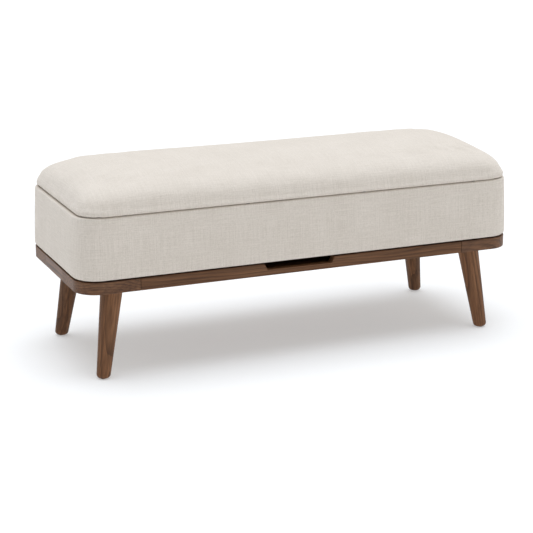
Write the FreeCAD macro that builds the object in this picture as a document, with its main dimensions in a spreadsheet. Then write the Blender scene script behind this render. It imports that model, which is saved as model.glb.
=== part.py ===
import FreeCAD, Part
import os
import re
import Sketcher

# Storage ottoman: an upholstered box with a hinged, domed lid, on a flat walnut frame
# with four splayed legs and a slim tray that pulls out of the frame.
#
# Millimetres. X runs along the length, -Y is the front, +Z is up. The origin is on the
# floor, under the middle of the frame.

# ---------------------------------------------------------------- driving dimensions
SIZES = (
    ("frame_length", 1200, "walnut frame, end to end"),
    ("frame_width", 456, "walnut frame, front to back"),
    ("frame_low", 227, "underside of the frame above the floor"),
    ("frame_top", 257, "top of the frame"),
    ("frame_corner", 60, "corner radius of the frame in plan"),
    ("frame_edge", 1.5, "rounding of the frame's outer edges"),
    ("joint_reach", 446.5, "inner faces of the corner blocks from the middle"),
    ("block_depth", 152, "corner block, front to back"),
    ("end_rail_wide", 60, "width of an end rail in plan"),
    ("back_rail_wide", 30, "width of the rear rail in plan"),
    ("runner_rail_wide", 30, "width of a runner rail in plan"),
    ("boss_drop", 9.5, "height of the turned boss under a corner block"),
    ("boss_fillet", 9, "hollow curve where the boss meets the block"),
    ("leg_top_x", 500.6, "leg axis at the underside of the frame"),
    ("leg_top_y", 164.7, "leg axis at the underside of the frame"),
    ("leg_splay_x", 35.8, "how far the foot stands outside that, lengthwise"),
    ("leg_splay_y", 23.2, "how far the foot stands outside that, crosswise"),
    ("leg_top_radius", 28.1, "leg radius at the underside of the frame"),
    ("leg_foot_radius", 16.9, "leg radius at the floor"),
    ("foot_rounding", 10, "rounding of the foot's rim"),
    ("leg_shoulder", 1.4, "eased rim at the top of each leg, a fine line under the boss"),
    ("glide_thick", 1.5, "nylon glide under each foot"),
    ("glide_radius", 6, "nylon glide under each foot"),
    ("bolt_radius", 4, "hanger bolt in each leg"),
    ("bolt_in_leg", 45, "hanger bolt length in the leg"),
    ("bolt_in_block", 26, "hanger bolt length in the corner block"),
    ("insert_radius", 6.5, "threaded insert, outside"),
    ("insert_length", 24, "threaded insert"),
    ("dowel_radius", 4, "dowels of the frame"),
    ("dowel_reach", 28, "how far a dowel runs into each piece"),
    ("dowel_first", 8, "first dowel of a rail, from the rail's edge"),
    ("dowel_second", 22, "second dowel of a rail, from the rail's edge"),
    ("end_dowel_first", 45, "first dowel of an end rail, from the frame's end"),
    ("end_dowel_second", 16, "second dowel of an end rail, from the frame's end"),
    ("runner_thick", 7, "how far a runner strip stands out"),
    ("runner_low", 237, "underside of a runner strip"),
    ("runner_tall", 8, "height of a runner strip"),
    ("runner_half", 198, "half the length of a runner strip"),
    ("tray_gap", 1.5, "gap at each end of the tray front"),
    ("tray_front_thick", 22, "tray front, front to back"),
    ("tray_back_y", 188, "rear face of the tray"),
    ("tray_side_thick", 16, "tray side"),
    ("tray_back_thick", 12, "tray back"),
    ("tray_floor_low", 229, "underside of the tray bottom"),
    ("tray_floor_thick", 4, "tray bottom"),
    ("tray_side_top", 253, "top of the tray sides"),
    ("groove_play", 0.5, "clearance of a runner strip in its groove"),
    ("tray_dowel_radius", 3, "dowels of the tray"),
    ("tray_dowel_length", 34, "dowels of the tray"),
    ("tray_dowel_in_front", 12, "how far a tray dowel runs into the front"),
    ("tray_dowel_inset", 4.5, "tray dowels from the floor of a side's groove"),
    ("small_shank", 1.5, "radius of the tray's and the hinges' screws"),
    ("small_head", 3, "head radius of those screws"),
    ("small_head_tall", 1.5, "countersunk height of those heads"),
    ("tray_screw_length", 34, "screws through the tray sides"),
    ("tray_screw_drop", 3.6, "tray screws below the top of the sides"),
    ("notch_middle", -21.5, "middle of the finger notch from the middle of the frame"),
    ("notch_half_top", 97.5, "half the notch's length at the top edge"),
    ("notch_half_low", 89, "half the notch's length at its floor"),
    ("notch_deep", 16, "depth of the finger notch"),
    ("notch_corner", 3, "rounding of the notch's floor corners"),
    ("case_low", 260, "lowest point of the upholstered case"),
    ("case_top", 416, "top of the case's rim"),
    ("case_half_x", 604, "half the case's length over the fabric"),
    ("case_half_y", 232, "half the case's width over the fabric"),
    ("case_corner", 64, "corner radius of the case in plan"),
    ("case_low_round", 11, "rounding at the foot of the case"),
    ("case_rim_round", 8, "rounding of the case's rim"),
    ("fabric", 1.5, "thickness of the covering fabric"),
    ("foam", 10, "foam on the case's walls"),
    ("panel", 12, "plywood panels of the case"),
    ("lining", 0.8, "fabric lining of the storage space"),
    ("flange", 34, "width of the fabric turned under and stapled"),
    ("spacer_inset", 26, "how far the spacer stands inside the frame's edge"),
    ("spacer_wide", 24, "width of the spacer ring"),
    ("case_screw_length", 40, "screws from the frame up into the case"),
    ("case_screw_shank", 2.5, "radius of those screws"),
    ("case_screw_head", 5, "head radius of those screws"),
    ("case_screw_head_tall", 2.5, "countersunk height of those heads"),
    ("case_screw_sunk", 3, "how deep those heads sit in the frame"),
    ("inner_screw_x", 12, "inner case screws past the corner block's inner face"),
    ("inner_screw_y", 100, "inner case screws from the frame's edge"),
    ("outer_screw_x", 60, "outer case screws from the frame's end"),
    ("outer_screw_y", 110, "outer case screws from the frame's edge"),
    ("lid_low", 418, "underside of the lid"),
    ("lid_top", 502, "top of the lid at its middle"),
    ("lid_half_x", 592, "half the lid's length"),
    ("lid_half_y", 226, "half the lid's width"),
    ("lid_corner", 58, "corner radius of the lid in plan"),
    ("lid_crown", 926, "radius of the lid's crown across its width"),
    ("lid_roll", 46, "rounding between the lid's sides and its top"),
    ("lid_board_inset", 10, "foam that wraps the edge of the lid board"),
    ("lid_board_thick", 15, "plywood lid board"),
    ("dust_cover_thick", 1, "fabric under the lid board"),
    ("bumper_radius", 6, "rubber bumpers under the lid"),
    ("bumper_tall", 1.8, "rubber bumpers under the lid"),
    ("bumper_pitch", 320, "distance between neighbouring bumpers"),
    ("hinge_y", 236, "hinge axis behind the middle"),
    ("hinge_level", 417, "hinge axis above the floor"),
    ("hinge_pitch", 380, "distance between neighbouring hinges"),
    ("hinge_half", 50, "half the length of a hinge"),
    ("knuckle_radius", 4, "outside of a hinge knuckle"),
    ("knuckle_play", 0.2, "gap between neighbouring knuckles"),
    ("pin_radius", 2, "hinge pin"),
    ("pin_play", 0.05, "radial clearance of the lid's knuckles on the pin"),
    ("leaf_thick", 0.9, "hinge leaf"),
    ("leaf_gap", 0.1, "from the level of the axis to each leaf"),
    ("leaf_front_y", 207, "front edge of the hinge leaves"),
    ("leaf_back_y", 231.4, "rear edge of the hinge leaves, clear of the knuckles"),
    ("tongue_back_y", 233.2, "where a leaf runs into its own knuckles"),
    ("hinge_screw_y", 214.5, "hinge screws, over the middle of the rear panel"),
    ("hinge_screw_pitch", 35, "distance between neighbouring screws of a hinge"),
    ("case_hinge_screw", 22, "length of the screws in the case's leaves"),
    ("lid_hinge_screw", 14, "length of the screws in the lid's leaves"),
)

doc = FreeCAD.newDocument("StorageOttoman")
sheet = doc.addObject("Spreadsheet::Sheet", "Sizes")
size = {}
for row, (alias, number, meaning) in enumerate(SIZES, start=1):
    sheet.set(f"A{row}", meaning)
    sheet.set(f"B{row}", str(number))
    sheet.setAlias(f"B{row}", alias)
    size[alias] = float(number)
doc.recompute()

SUBPARTS = []
X_AXIS = FreeCAD.Vector(1, 0, 0)
Y_AXIS = FreeCAD.Vector(0, 1, 0)
Z_AXIS = FreeCAD.Vector(0, 0, 1)
ALONG_X = FreeCAD.Rotation(Z_AXIS, X_AXIS)
ALONG_Y = FreeCAD.Rotation(Z_AXIS, Y_AXIS)
UPRIGHT = FreeCAD.Rotation()


# ---------------------------------------------------------------- helpers
def bind(item, prop, text):
    """Bind a property to a formula of the sheet's aliases."""
    formula = re.sub(r"\b(?!sqrt\b)([a-z]\w*)\b", r"Sizes.\1", str(text))
    item.setExpression(prop, formula)


def subpart(item, label):
    """Give a finished piece its name and put it on the list to export."""
    item.Label = label
    SUBPARTS.append(item)
    return item


def box(name, x, y, z):
    """Box between two formulas on each axis."""
    solid = doc.addObject("Part::Box", name)
    for prop, axis, (low, high) in (("Length", "x", x), ("Width", "y", y), ("Height", "z", z)):
        bind(solid, prop, f"({high}) - ({low})")
        bind(solid, f"Placement.Base.{axis}", low)
    return solid


def cylinder(name, radius, length, start, rotation=UPRIGHT):
    """Cylinder from a start point, along +Z or as turned."""
    solid = doc.addObject("Part::Cylinder", name)
    solid.Placement = FreeCAD.Placement(FreeCAD.Vector(), rotation)
    bind(solid, "Radius", radius)
    bind(solid, "Height", length)
    for axis, text in zip("xyz", start):
        bind(solid, f"Placement.Base.{axis}", text)
    return solid


def cone(name, radius_low, radius_high, length, start, rotation=UPRIGHT):
    """Cone from a start point, along +Z or as turned."""
    solid = doc.addObject("Part::Cone", name)
    solid.Placement = FreeCAD.Placement(FreeCAD.Vector(), rotation)
    bind(solid, "Radius1", radius_low)
    bind(solid, "Radius2", radius_high)
    bind(solid, "Height", length)
    for axis, text in zip("xyz", start):
        bind(solid, f"Placement.Base.{axis}", text)
    return solid


def cut(name, base, tool):
    """Base without the tool."""
    result = doc.addObject("Part::Cut", name)
    result.Base = base
    result.Tool = tool
    return result


def common(name, base, tool):
    """What both hold."""
    result = doc.addObject("Part::Common", name)
    result.Base = base
    result.Tool = tool
    return result


def fuse(name, pieces):
    """Several solids made into one."""
    result = doc.addObject("Part::MultiFuse", name)
    result.Shapes = pieces
    return result


def group(name, pieces):
    """Several like solids kept apart in one sub-part."""
    result = doc.addObject("Part::Compound", name)
    result.Links = pieces
    return result


def mirrored(name, source, normal):
    """The source mirrored through the origin, across the plane with this normal."""
    result = doc.addObject("Part::Mirroring", name)
    result.Source = source
    result.Normal = normal
    return result


def is_vertical(edge):
    """True for a straight upright edge."""
    ends = [vertex.Point for vertex in edge.Vertexes]
    return len(ends) == 2 and (ends[0] - ends[1]).cross(Z_AXIS).Length < 0.001


def level_at(edge, height):
    """True for an edge that lies flat at this height."""
    bounds = edge.BoundBox
    return abs(bounds.ZMin - height) < 0.01 and abs(bounds.ZMax - height) < 0.01


def round_body(body, name, radius, wanted):
    """Fillet on a body's tip, on the edges that the test picks."""
    doc.recompute()
    tip = body.Tip
    names = [f"Edge{i}" for i, edge in enumerate(tip.Shape.Edges, start=1) if wanted(edge)]
    fillet = body.newObject("PartDesign::Fillet", name)
    fillet.Base = (tip, names)
    bind(fillet, "Radius", radius)
    doc.recompute()
    return fillet


def round_part(name, base, radius, wanted):
    """Part fillet of a boolean result, on the edges that the test picks."""
    doc.recompute()
    fillet = doc.addObject("Part::Fillet", name)
    fillet.Base = base
    picked = [i for i, edge in enumerate(base.Shape.Edges, start=1) if wanted(edge)]
    fillet.Edges = [(i, radius, radius) for i in picked]
    return fillet


def block_body(name, x, y, z):
    """Body that starts as a box between two formulas on each axis."""
    body = doc.addObject("PartDesign::Body", name)
    start = body.newObject("PartDesign::AdditiveBox", name + "_start")
    for prop, axis, (low, high) in (("Length", "x", x), ("Width", "y", y), ("Height", "z", z)):
        bind(start, prop, f"({high}) - ({low})")
        bind(start, f"Placement.Base.{axis}", low)
    return body


def plate(name, half_x, half_y, corner, low, high):
    """Body of a rounded rectangle about the origin, between two heights."""
    across = (f"-({half_x})", half_x)
    deep = (f"-({half_y})", half_y)
    body = block_body(name, across, deep, (low, high))
    round_body(body, name + "_corners", corner, is_vertical)
    return body


def screw(
    name, at, length, shank="small_shank", head="small_head", head_tall="small_head_tall", down=True
):
    """Countersunk screw; its flat head is at the point, its shank runs down or up."""
    x, y, z = at
    if down:
        shank_start = (x, y, f"({z}) - ({length})")
        head_start = (x, y, f"({z}) - ({head_tall})")
        radii = (shank, head)
    else:
        shank_start = (x, y, z)
        head_start = (x, y, z)
        radii = (head, shank)
    stem = cylinder(name + "_stem", shank, length, shank_start)
    crown = cone(name + "_head", radii[0], radii[1], head_tall, head_start)
    return fuse(name, [stem, crown])


def sided_span(side, near, far):
    """A span on one side of the middle, low end first."""
    if side > 0:
        return (near, far)
    return (f"-({far})", f"-({near})")


# ---------------------------------------------------------------- frame joints
HALF_X = "frame_length / 2"
HALF_Y = "frame_width / 2"
BLOCK_INNER_Y = "frame_width / 2 - block_depth"
FRAME_MIDDLE = "(frame_low + frame_top) / 2"
FRAME_HEIGHT = ("frame_low", "frame_top")


def frame_dowels():
    """Dowels that join the rails to the corner blocks, two in each joint."""
    pieces = []
    lengthwise = (
        "joint_reach + dowel_first",
        "joint_reach + dowel_second",
        "frame_length / 2 - end_dowel_first",
        "frame_length / 2 - end_dowel_second",
    )
    for side in (-1, 1):
        for end in (-1, 1):
            for number, place in enumerate(lengthwise):
                name = f"dowel_{side + 1}{end + 1}{number}"
                start_y = f"{end} * ({BLOCK_INNER_Y}) - dowel_reach"
                start = (f"{side} * ({place})", start_y, FRAME_MIDDLE)
                pieces.append(cylinder(name, "dowel_radius", "2 * dowel_reach", start, ALONG_Y))
        for number, inset in enumerate(("dowel_first", "dowel_second")):
            name = f"dowel_back_{side + 1}{number}"
            start_x = f"{side} * joint_reach - dowel_reach"
            start = (start_x, f"{HALF_Y} - {inset}", FRAME_MIDDLE)
            pieces.append(cylinder(name, "dowel_radius", "2 * dowel_reach", start, ALONG_X))
    return subpart(group("dowels", pieces), "frame_dowels")


def lean():
    """Turn that tips +Z onto a leg's axis, from the foot up, for the rear right leg."""
    return FreeCAD.Rotation(Z_AXIS, LEG_UP)


def four_corners(name, source, suffixes):
    """The rear right piece and its three mirror images."""
    front = mirrored(name + "_front", source, Y_AXIS)
    left = mirrored(name + "_left", source, X_AXIS)
    front_left = mirrored(name + "_front_left", front, X_AXIS)
    return dict(zip(suffixes, (source, front, left, front_left)))


CORNERS = ("rear_right", "front_right", "rear_left", "front_left")
LEG_FOOT = ("leg_top_x + leg_splay_x", "leg_top_y + leg_splay_y", "0")
LEG_TOP = ("leg_top_x", "leg_top_y", "frame_low")
LEG_UP = FreeCAD.Vector(-size["leg_splay_x"], -size["leg_splay_y"], size["frame_low"])
LEG_SLANT = "frame_low * sqrt(1 + (leg_splay_x / frame_low) ^ 2 + (leg_splay_y / frame_low) ^ 2)"


def hanger_bolts():
    """Double-ended bolts along the legs' axes, and the inserts they turn into."""
    direction = LEG_UP / LEG_UP.Length
    down = [f"{place} - bolt_in_leg * {number}" for place, number in zip(LEG_TOP, direction)]
    length = "bolt_in_leg + bolt_in_block"
    bolt = cylinder("bolt_rear_right", "bolt_radius", length, down, lean())
    sleeve = cylinder("sleeve", "insert_radius", "insert_length", LEG_TOP, lean())
    insert = cut("insert_rear_right", sleeve, bolt)
    bolts = four_corners("bolt", bolt, CORNERS)
    inserts = four_corners("insert", insert, CORNERS)
    bolt_group = subpart(group("bolts", list(bolts.values())), "hanger_bolts")
    insert_group = subpart(group("inserts", list(inserts.values())), "threaded_inserts")
    return bolt_group, insert_group


# ---------------------------------------------------------------- walnut frame
def corner_blocks(dowels, bolts, inserts, screws):
    """Corner blocks with a turned boss for the leg, rounded at the outer corner."""
    x = ("joint_reach", HALF_X)
    y = (BLOCK_INNER_Y, HALF_Y)
    body = block_body("block", x, y, FRAME_HEIGHT)

    def outer_corner(edge):
        at = edge.BoundBox
        return is_vertical(edge) and at.XMin > 599 and at.YMin > 227

    round_body(body, "block_corner", "frame_corner", outer_corner)

    def outer_rim(edge):
        flat = level_at(edge, size["frame_low"]) or level_at(edge, size["frame_top"])
        middle = edge.valueAt((edge.FirstParameter + edge.LastParameter) / 2)
        inner = middle.x < size["joint_reach"] + 0.01
        inner = inner or middle.y < size["frame_width"] / 2 - size["block_depth"] + 0.01
        return flat and not inner

    round_body(body, "block_rim", "frame_edge", outer_rim)
    taper = f"(leg_top_radius - leg_foot_radius) / ({LEG_SLANT})"
    boss_cone = cone(
        "boss_cone",
        "leg_foot_radius",
        f"leg_top_radius + 20 * {taper}",
        f"{LEG_SLANT} + 20",
        LEG_FOOT,
        lean(),
    )
    boss_slab = box(
        "boss_slab",
        ("leg_top_x - 60", "leg_top_x + 60"),
        ("leg_top_y - 60", "leg_top_y + 60"),
        ("frame_low - boss_drop", "frame_low + 8"),
    )
    boss = common("boss", boss_cone, boss_slab)
    joined = fuse("block_with_boss", [body, boss])

    def boss_root(edge):
        at = edge.BoundBox
        near = (at.Center - FreeCAD.Vector(size["leg_top_x"], size["leg_top_y"], at.Center.z)).Length
        return level_at(edge, size["frame_low"]) and near < 5 and at.XLength < 80

    flared = round_part("block_flared", joined, size["boss_fillet"], boss_root)
    blocks = four_corners("block_copy", flared, CORNERS)
    for corner, source in blocks.items():
        drilled = cut(f"block_{corner}_dowelled", source, dowels)
        bored = cut(f"block_{corner}_bored", drilled, inserts)
        cleared = cut(f"block_{corner}_cleared", bored, bolts)
        subpart(cut(f"block_{corner}_screwed", cleared, screws), f"corner_block_{corner}")


def frame_rails(dowels):
    """End rails, rear rail and the two inner rails that carry the tray runners."""

    def outer_edges(limit_x, limit_y):
        def wanted(edge):
            middle = edge.valueAt((edge.FirstParameter + edge.LastParameter) / 2)
            flat = level_at(edge, size["frame_low"]) or level_at(edge, size["frame_top"])
            return flat and (abs(middle.x) > limit_x or middle.y > limit_y)

        return wanted

    deep = (f"-({BLOCK_INNER_Y})", BLOCK_INNER_Y)
    for side, word in ((-1, "left"), (1, "right")):
        ends = sided_span(side, f"{HALF_X} - end_rail_wide", HALF_X)
        body = block_body(f"end_rail_{word}_body", ends, deep, FRAME_HEIGHT)
        round_body(body, f"end_rail_{word}_rim", "frame_edge", outer_edges(599.9, 900))
        subpart(cut(f"end_rail_{word}_bored", body, dowels), f"end_rail_{word}")
        inner = sided_span(side, "joint_reach", "joint_reach + runner_rail_wide")
        rail = box(f"runner_rail_{word}_box", inner, deep, FRAME_HEIGHT)
        subpart(cut(f"runner_rail_{word}_bored", rail, dowels), f"runner_rail_{word}")
    back = (f"{HALF_Y} - back_rail_wide", HALF_Y)
    body = block_body("rear_rail_body", ("-joint_reach", "joint_reach"), back, FRAME_HEIGHT)
    round_body(body, "rear_rail_rim", "frame_edge", outer_edges(900, 227.9))
    subpart(cut("rear_rail_bored", body, dowels), "rear_rail")


def runner_strips():
    """Hardwood strips on the inner faces, which the grooves of the tray sides ride on."""
    tall = ("runner_low", "runner_low + runner_tall")
    deep = ("-runner_half", "runner_half")
    for side, word in ((-1, "left"), (1, "right")):
        across = sided_span(side, "joint_reach - runner_thick", "joint_reach")
        subpart(box(f"strip_{word}", across, deep, tall), f"runner_strip_{word}")


def legs(bolts):
    """Turned, tapered legs: a revolved profile, leaned over and cut level at both ends."""
    body = doc.addObject("PartDesign::Body", "leg_turned")
    sketch = body.newObject("Sketcher::SketchObject", "leg_profile")
    plane = next(item for item in body.Origin.OriginFeatures if item.Role == "XZ_Plane")
    sketch.AttachmentSupport = (plane, [""])
    sketch.MapMode = "FlatFace"
    top = LEG_UP.Length
    foot = size["leg_foot_radius"]
    rim = size["leg_top_radius"]
    corners = [(0, -5), (foot, -5), (rim, top), (0, top)]
    for index, (x, y) in enumerate(corners):
        next_x, next_y = corners[(index + 1) % 4]
        start = FreeCAD.Vector(x, y, 0)
        end = FreeCAD.Vector(next_x, next_y, 0)
        sketch.addGeometry(Part.LineSegment(start, end), False)
    for index in range(4):
        following = (index + 1) % 4
        sketch.addConstraint(Sketcher.Constraint("Coincident", index, 2, following, 1))
    sketch.addConstraint(Sketcher.Constraint("Horizontal", 0))
    sketch.addConstraint(Sketcher.Constraint("Horizontal", 2))
    sketch.addConstraint(Sketcher.Constraint("PointOnObject", 0, 1, -2))
    sketch.addConstraint(Sketcher.Constraint("PointOnObject", 2, 2, -2))
    named = (
        ("foot", Sketcher.Constraint("DistanceX", 0, 1, 0, 2, foot), "leg_foot_radius"),
        ("rim", Sketcher.Constraint("DistanceX", 2, 2, 2, 1, rim), "leg_top_radius"),
        ("top", Sketcher.Constraint("DistanceY", -1, 1, 2, 2, top), LEG_SLANT),
        ("low", Sketcher.Constraint("DistanceY", 0, 1, -1, 1, 5), "5"),
    )
    for name, constraint, text in named:
        index = sketch.addConstraint(constraint)
        sketch.renameConstraint(index, name)
        bind(sketch, f"Constraints.{name}", text)
    turned = body.newObject("PartDesign::Revolution", "leg_revolved")
    turned.Profile = sketch
    turned.ReferenceAxis = (sketch, ["V_Axis"])
    turned.Angle = 360
    body.Tip = turned
    body.Placement = FreeCAD.Placement(FreeCAD.Vector(), lean())
    for axis, text in zip("xyz", LEG_FOOT):
        bind(body, f"Placement.Base.{axis}", text)
    keep = box(
        "leg_keep",
        ("leg_top_x - 80", "leg_top_x + 90"),
        ("leg_top_y - 80", "leg_top_y + 90"),
        ("glide_thick", "frame_low - boss_drop"),
    )
    level = common("leg_level", body, keep)

    def foot_rim(edge):
        return level_at(edge, size["glide_thick"])

    footed = round_part("leg_footed", level, size["foot_rounding"], foot_rim)

    def shoulder(edge):
        return level_at(edge, size["frame_low"] - size["boss_drop"])

    rounded = round_part("leg_rounded", footed, size["leg_shoulder"], shoulder)
    for corner, source in four_corners("leg_copy", rounded, CORNERS).items():
        subpart(cut(f"leg_{corner}_bored", source, bolts), f"leg_{corner}")
    glide = cylinder("glide", "glide_radius", "glide_thick", LEG_FOOT)
    glides = four_corners("glide_copy", glide, CORNERS)
    subpart(group("glides", list(glides.values())), "foot_glides")


# ---------------------------------------------------------------- pull-out tray
TRAY_HALF = "joint_reach - tray_gap"
FRONT_Y = f"-{HALF_Y}"
FRONT_REAR_Y = f"tray_front_thick - {HALF_Y}"
TRAY_WALLS = ("tray_floor_low + tray_floor_thick", "tray_side_top")


def tray_dowels():
    """Dowels from the tray front into its sides."""
    pieces = []
    for side in (-1, 1):
        place = f"{side} * ({TRAY_HALF} - runner_thick - tray_dowel_inset)"
        start = (place, f"{FRONT_REAR_Y} - tray_dowel_in_front", FRAME_MIDDLE)
        name = f"tray_dowel_{side + 1}"
        pieces.append(cylinder(name, "tray_dowel_radius", "tray_dowel_length", start, ALONG_Y))
    return subpart(group("tray_dowel_pair", pieces), "tray_dowels")


def tray_screws():
    """Screws through the tray sides into its back, heads outwards."""
    pieces = []
    level = "tray_side_top - tray_screw_drop"
    middle = "tray_back_y - tray_back_thick / 2"
    for side in (-1, 1):
        turn = FreeCAD.Rotation(Z_AXIS, FreeCAD.Vector(-side, 0, 0))
        start = (f"{side} * ({TRAY_HALF})", middle, level)
        stem = cylinder(f"tray_stem_{side + 1}", "small_shank", "tray_screw_length", start, turn)
        head = ("small_head", "small_shank", "small_head_tall")
        crown = cone(f"tray_crown_{side + 1}", *head, start, turn)
        pieces.append(fuse(f"tray_screw_{side + 1}", [stem, crown]))
    return subpart(group("tray_screw_pair", pieces), "tray_screws")


def tray_front(dowels):
    """Front rail of the frame, which is the tray's front, with a finger notch."""
    across = (f"-({TRAY_HALF})", TRAY_HALF)
    body = block_body("tray_front_body", across, (FRONT_Y, FRONT_REAR_Y), FRAME_HEIGHT)

    def front_edges(edge):
        middle = edge.valueAt((edge.FirstParameter + edge.LastParameter) / 2)
        flat = level_at(edge, size["frame_low"]) or level_at(edge, size["frame_top"])
        return flat and middle.y < 0.01 - size["frame_width"] / 2

    round_body(body, "tray_front_rim", "frame_edge", front_edges)
    sketch = body.newObject("Sketcher::SketchObject", "notch_outline")
    plane = next(item for item in body.Origin.OriginFeatures if item.Role == "XZ_Plane")
    sketch.AttachmentSupport = (plane, [""])
    sketch.MapMode = "FlatFace"
    middle = size["notch_middle"]
    top = size["frame_top"] + 5
    floor = size["frame_top"] - size["notch_deep"]
    slope = (size["notch_half_top"] - size["notch_half_low"]) / size["notch_deep"]
    wide = size["notch_half_top"] + 5 * slope
    narrow = size["notch_half_low"]
    outline = [
        (middle - wide, top),
        (middle - narrow, floor),
        (middle + narrow, floor),
        (middle + wide, top),
    ]
    for index, (x, y) in enumerate(outline):
        next_x, next_y = outline[(index + 1) % 4]
        start = FreeCAD.Vector(x, y, 0)
        end = FreeCAD.Vector(next_x, next_y, 0)
        sketch.addGeometry(Part.LineSegment(start, end), False)
    for index in range(4):
        following = (index + 1) % 4
        sketch.addConstraint(Sketcher.Constraint("Coincident", index, 2, following, 1))
    flare = "(notch_half_top + 5 * (notch_half_top - notch_half_low) / notch_deep)"
    corner_places = (
        ("top_left", 0, f"{flare} - notch_middle", "frame_top + 5"),
        ("low_left", 1, "notch_half_low - notch_middle", "frame_top - notch_deep"),
        ("low_right", 2, "notch_half_low + notch_middle", "frame_top - notch_deep"),
        ("top_right", 3, f"{flare} + notch_middle", "frame_top + 5"),
    )
    for name, index, across_text, up_text in corner_places:
        x, y = outline[index]
        if x < 0:
            sideways = Sketcher.Constraint("DistanceX", index, 1, -1, 1, -x)
        else:
            sideways = Sketcher.Constraint("DistanceX", -1, 1, index, 1, x)
        upwards = Sketcher.Constraint("DistanceY", -1, 1, index, 1, y)
        for suffix, constraint, text in (("x", sideways, across_text), ("y", upwards, up_text)):
            number = sketch.addConstraint(constraint)
            sketch.renameConstraint(number, f"{name}_{suffix}")
            bind(sketch, f"Constraints.{name}_{suffix}", text)
    notch = body.newObject("PartDesign::Pocket", "notch")
    notch.Profile = sketch
    notch.Type = "ThroughAll"
    notch.Midplane = True
    doc.recompute()

    def notch_floor_corners(edge):
        at = edge.BoundBox
        return at.YLength > 15 and level_at(edge, floor)

    round_body(body, "notch_corners", "notch_corner", notch_floor_corners)
    subpart(cut("tray_front_bored", body, dowels), "tray_front")


def tray_box(dowels, screws):
    """Grooved sides, back and plywood bottom of the tray."""
    deep = (FRONT_REAR_Y, "tray_back_y")
    groove_deep = ("-runner_half - groove_play", "tray_back_y + 1")
    groove_tall = ("runner_low - groove_play", "runner_low + runner_tall + groove_play")
    for side, word in ((-1, "left"), (1, "right")):
        outer = sided_span(side, f"{TRAY_HALF} - tray_side_thick", TRAY_HALF)
        groove_inner = f"{TRAY_HALF} - runner_thick + tray_gap - groove_play"
        groove = sided_span(side, groove_inner, f"{TRAY_HALF} + 1")
        wall = box(f"tray_wall_{word}", outer, deep, TRAY_WALLS)
        channel = box(f"tray_channel_{word}", groove, groove_deep, groove_tall)
        grooved = cut(f"tray_wall_{word}_grooved", wall, channel)
        dowelled = cut(f"tray_wall_{word}_dowelled", grooved, dowels)
        subpart(cut(f"tray_wall_{word}_drilled", dowelled, screws), f"tray_side_{word}")
    inner = (f"tray_side_thick - ({TRAY_HALF})", f"{TRAY_HALF} - tray_side_thick")
    back = box("tray_back_box", inner, ("tray_back_y - tray_back_thick", "tray_back_y"), TRAY_WALLS)
    subpart(cut("tray_back_drilled", back, screws), "tray_back")
    across = (f"-({TRAY_HALF})", TRAY_HALF)
    floor = box("tray_floor", across, deep, ("tray_floor_low", TRAY_WALLS[0]))
    subpart(floor, "tray_bottom")


# ---------------------------------------------------------------- upholstered case
PAD_X = "case_half_x - fabric"
PAD_Y = "case_half_y - fabric"
PAD_R = "case_corner - fabric"
PLY_X = "case_half_x - fabric - foam"
PLY_Y = "case_half_y - fabric - foam"
PLY_R = "case_corner - fabric - foam"
ROOM_X = "case_half_x - fabric - foam - panel"
ROOM_Y = "case_half_y - fabric - foam - panel"
ROOM_R = "case_corner - fabric - foam - panel"
PLY_LOW = "case_low + fabric"
PLY_TOP = "case_top - fabric"
FLOOR_TOP = "case_low + fabric + panel"


def case_screws():
    """Screws up through the corner blocks into the case bottom."""
    pieces = []
    inner_place = ("joint_reach + inner_screw_x", "frame_width / 2 - inner_screw_y")
    outer_place = ("frame_length / 2 - outer_screw_x", "frame_width / 2 - outer_screw_y")
    form = ("case_screw_length", "case_screw_shank", "case_screw_head", "case_screw_head_tall")
    for side in (-1, 1):
        for end in (-1, 1):
            for number, (x, y) in enumerate((inner_place, outer_place)):
                at = (f"{side} * ({x})", f"{end} * ({y})", "frame_low + case_screw_sunk")
                name = f"case_screw_{side + 1}{end + 1}{number}"
                pieces.append(screw(name, at, *form, down=False))
    return subpart(group("case_screw_set", pieces), "case_screws")


def soft_shell(name, inset):
    """Body of the case's rounded outer form, set in by the inset all over."""
    body = plate(
        name,
        f"case_half_x - {inset}",
        f"case_half_y - {inset}",
        f"case_corner - {inset}",
        f"case_low + {inset}",
        f"case_top - {inset}",
    )
    low = size["case_low"] + size.get(inset, 0)
    top = size["case_top"] - size.get(inset, 0)
    round_body(body, name + "_foot", f"case_low_round - {inset}", lambda edge: level_at(edge, low))
    round_body(body, name + "_rim", f"case_rim_round - {inset}", lambda edge: level_at(edge, top))
    return body


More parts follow.
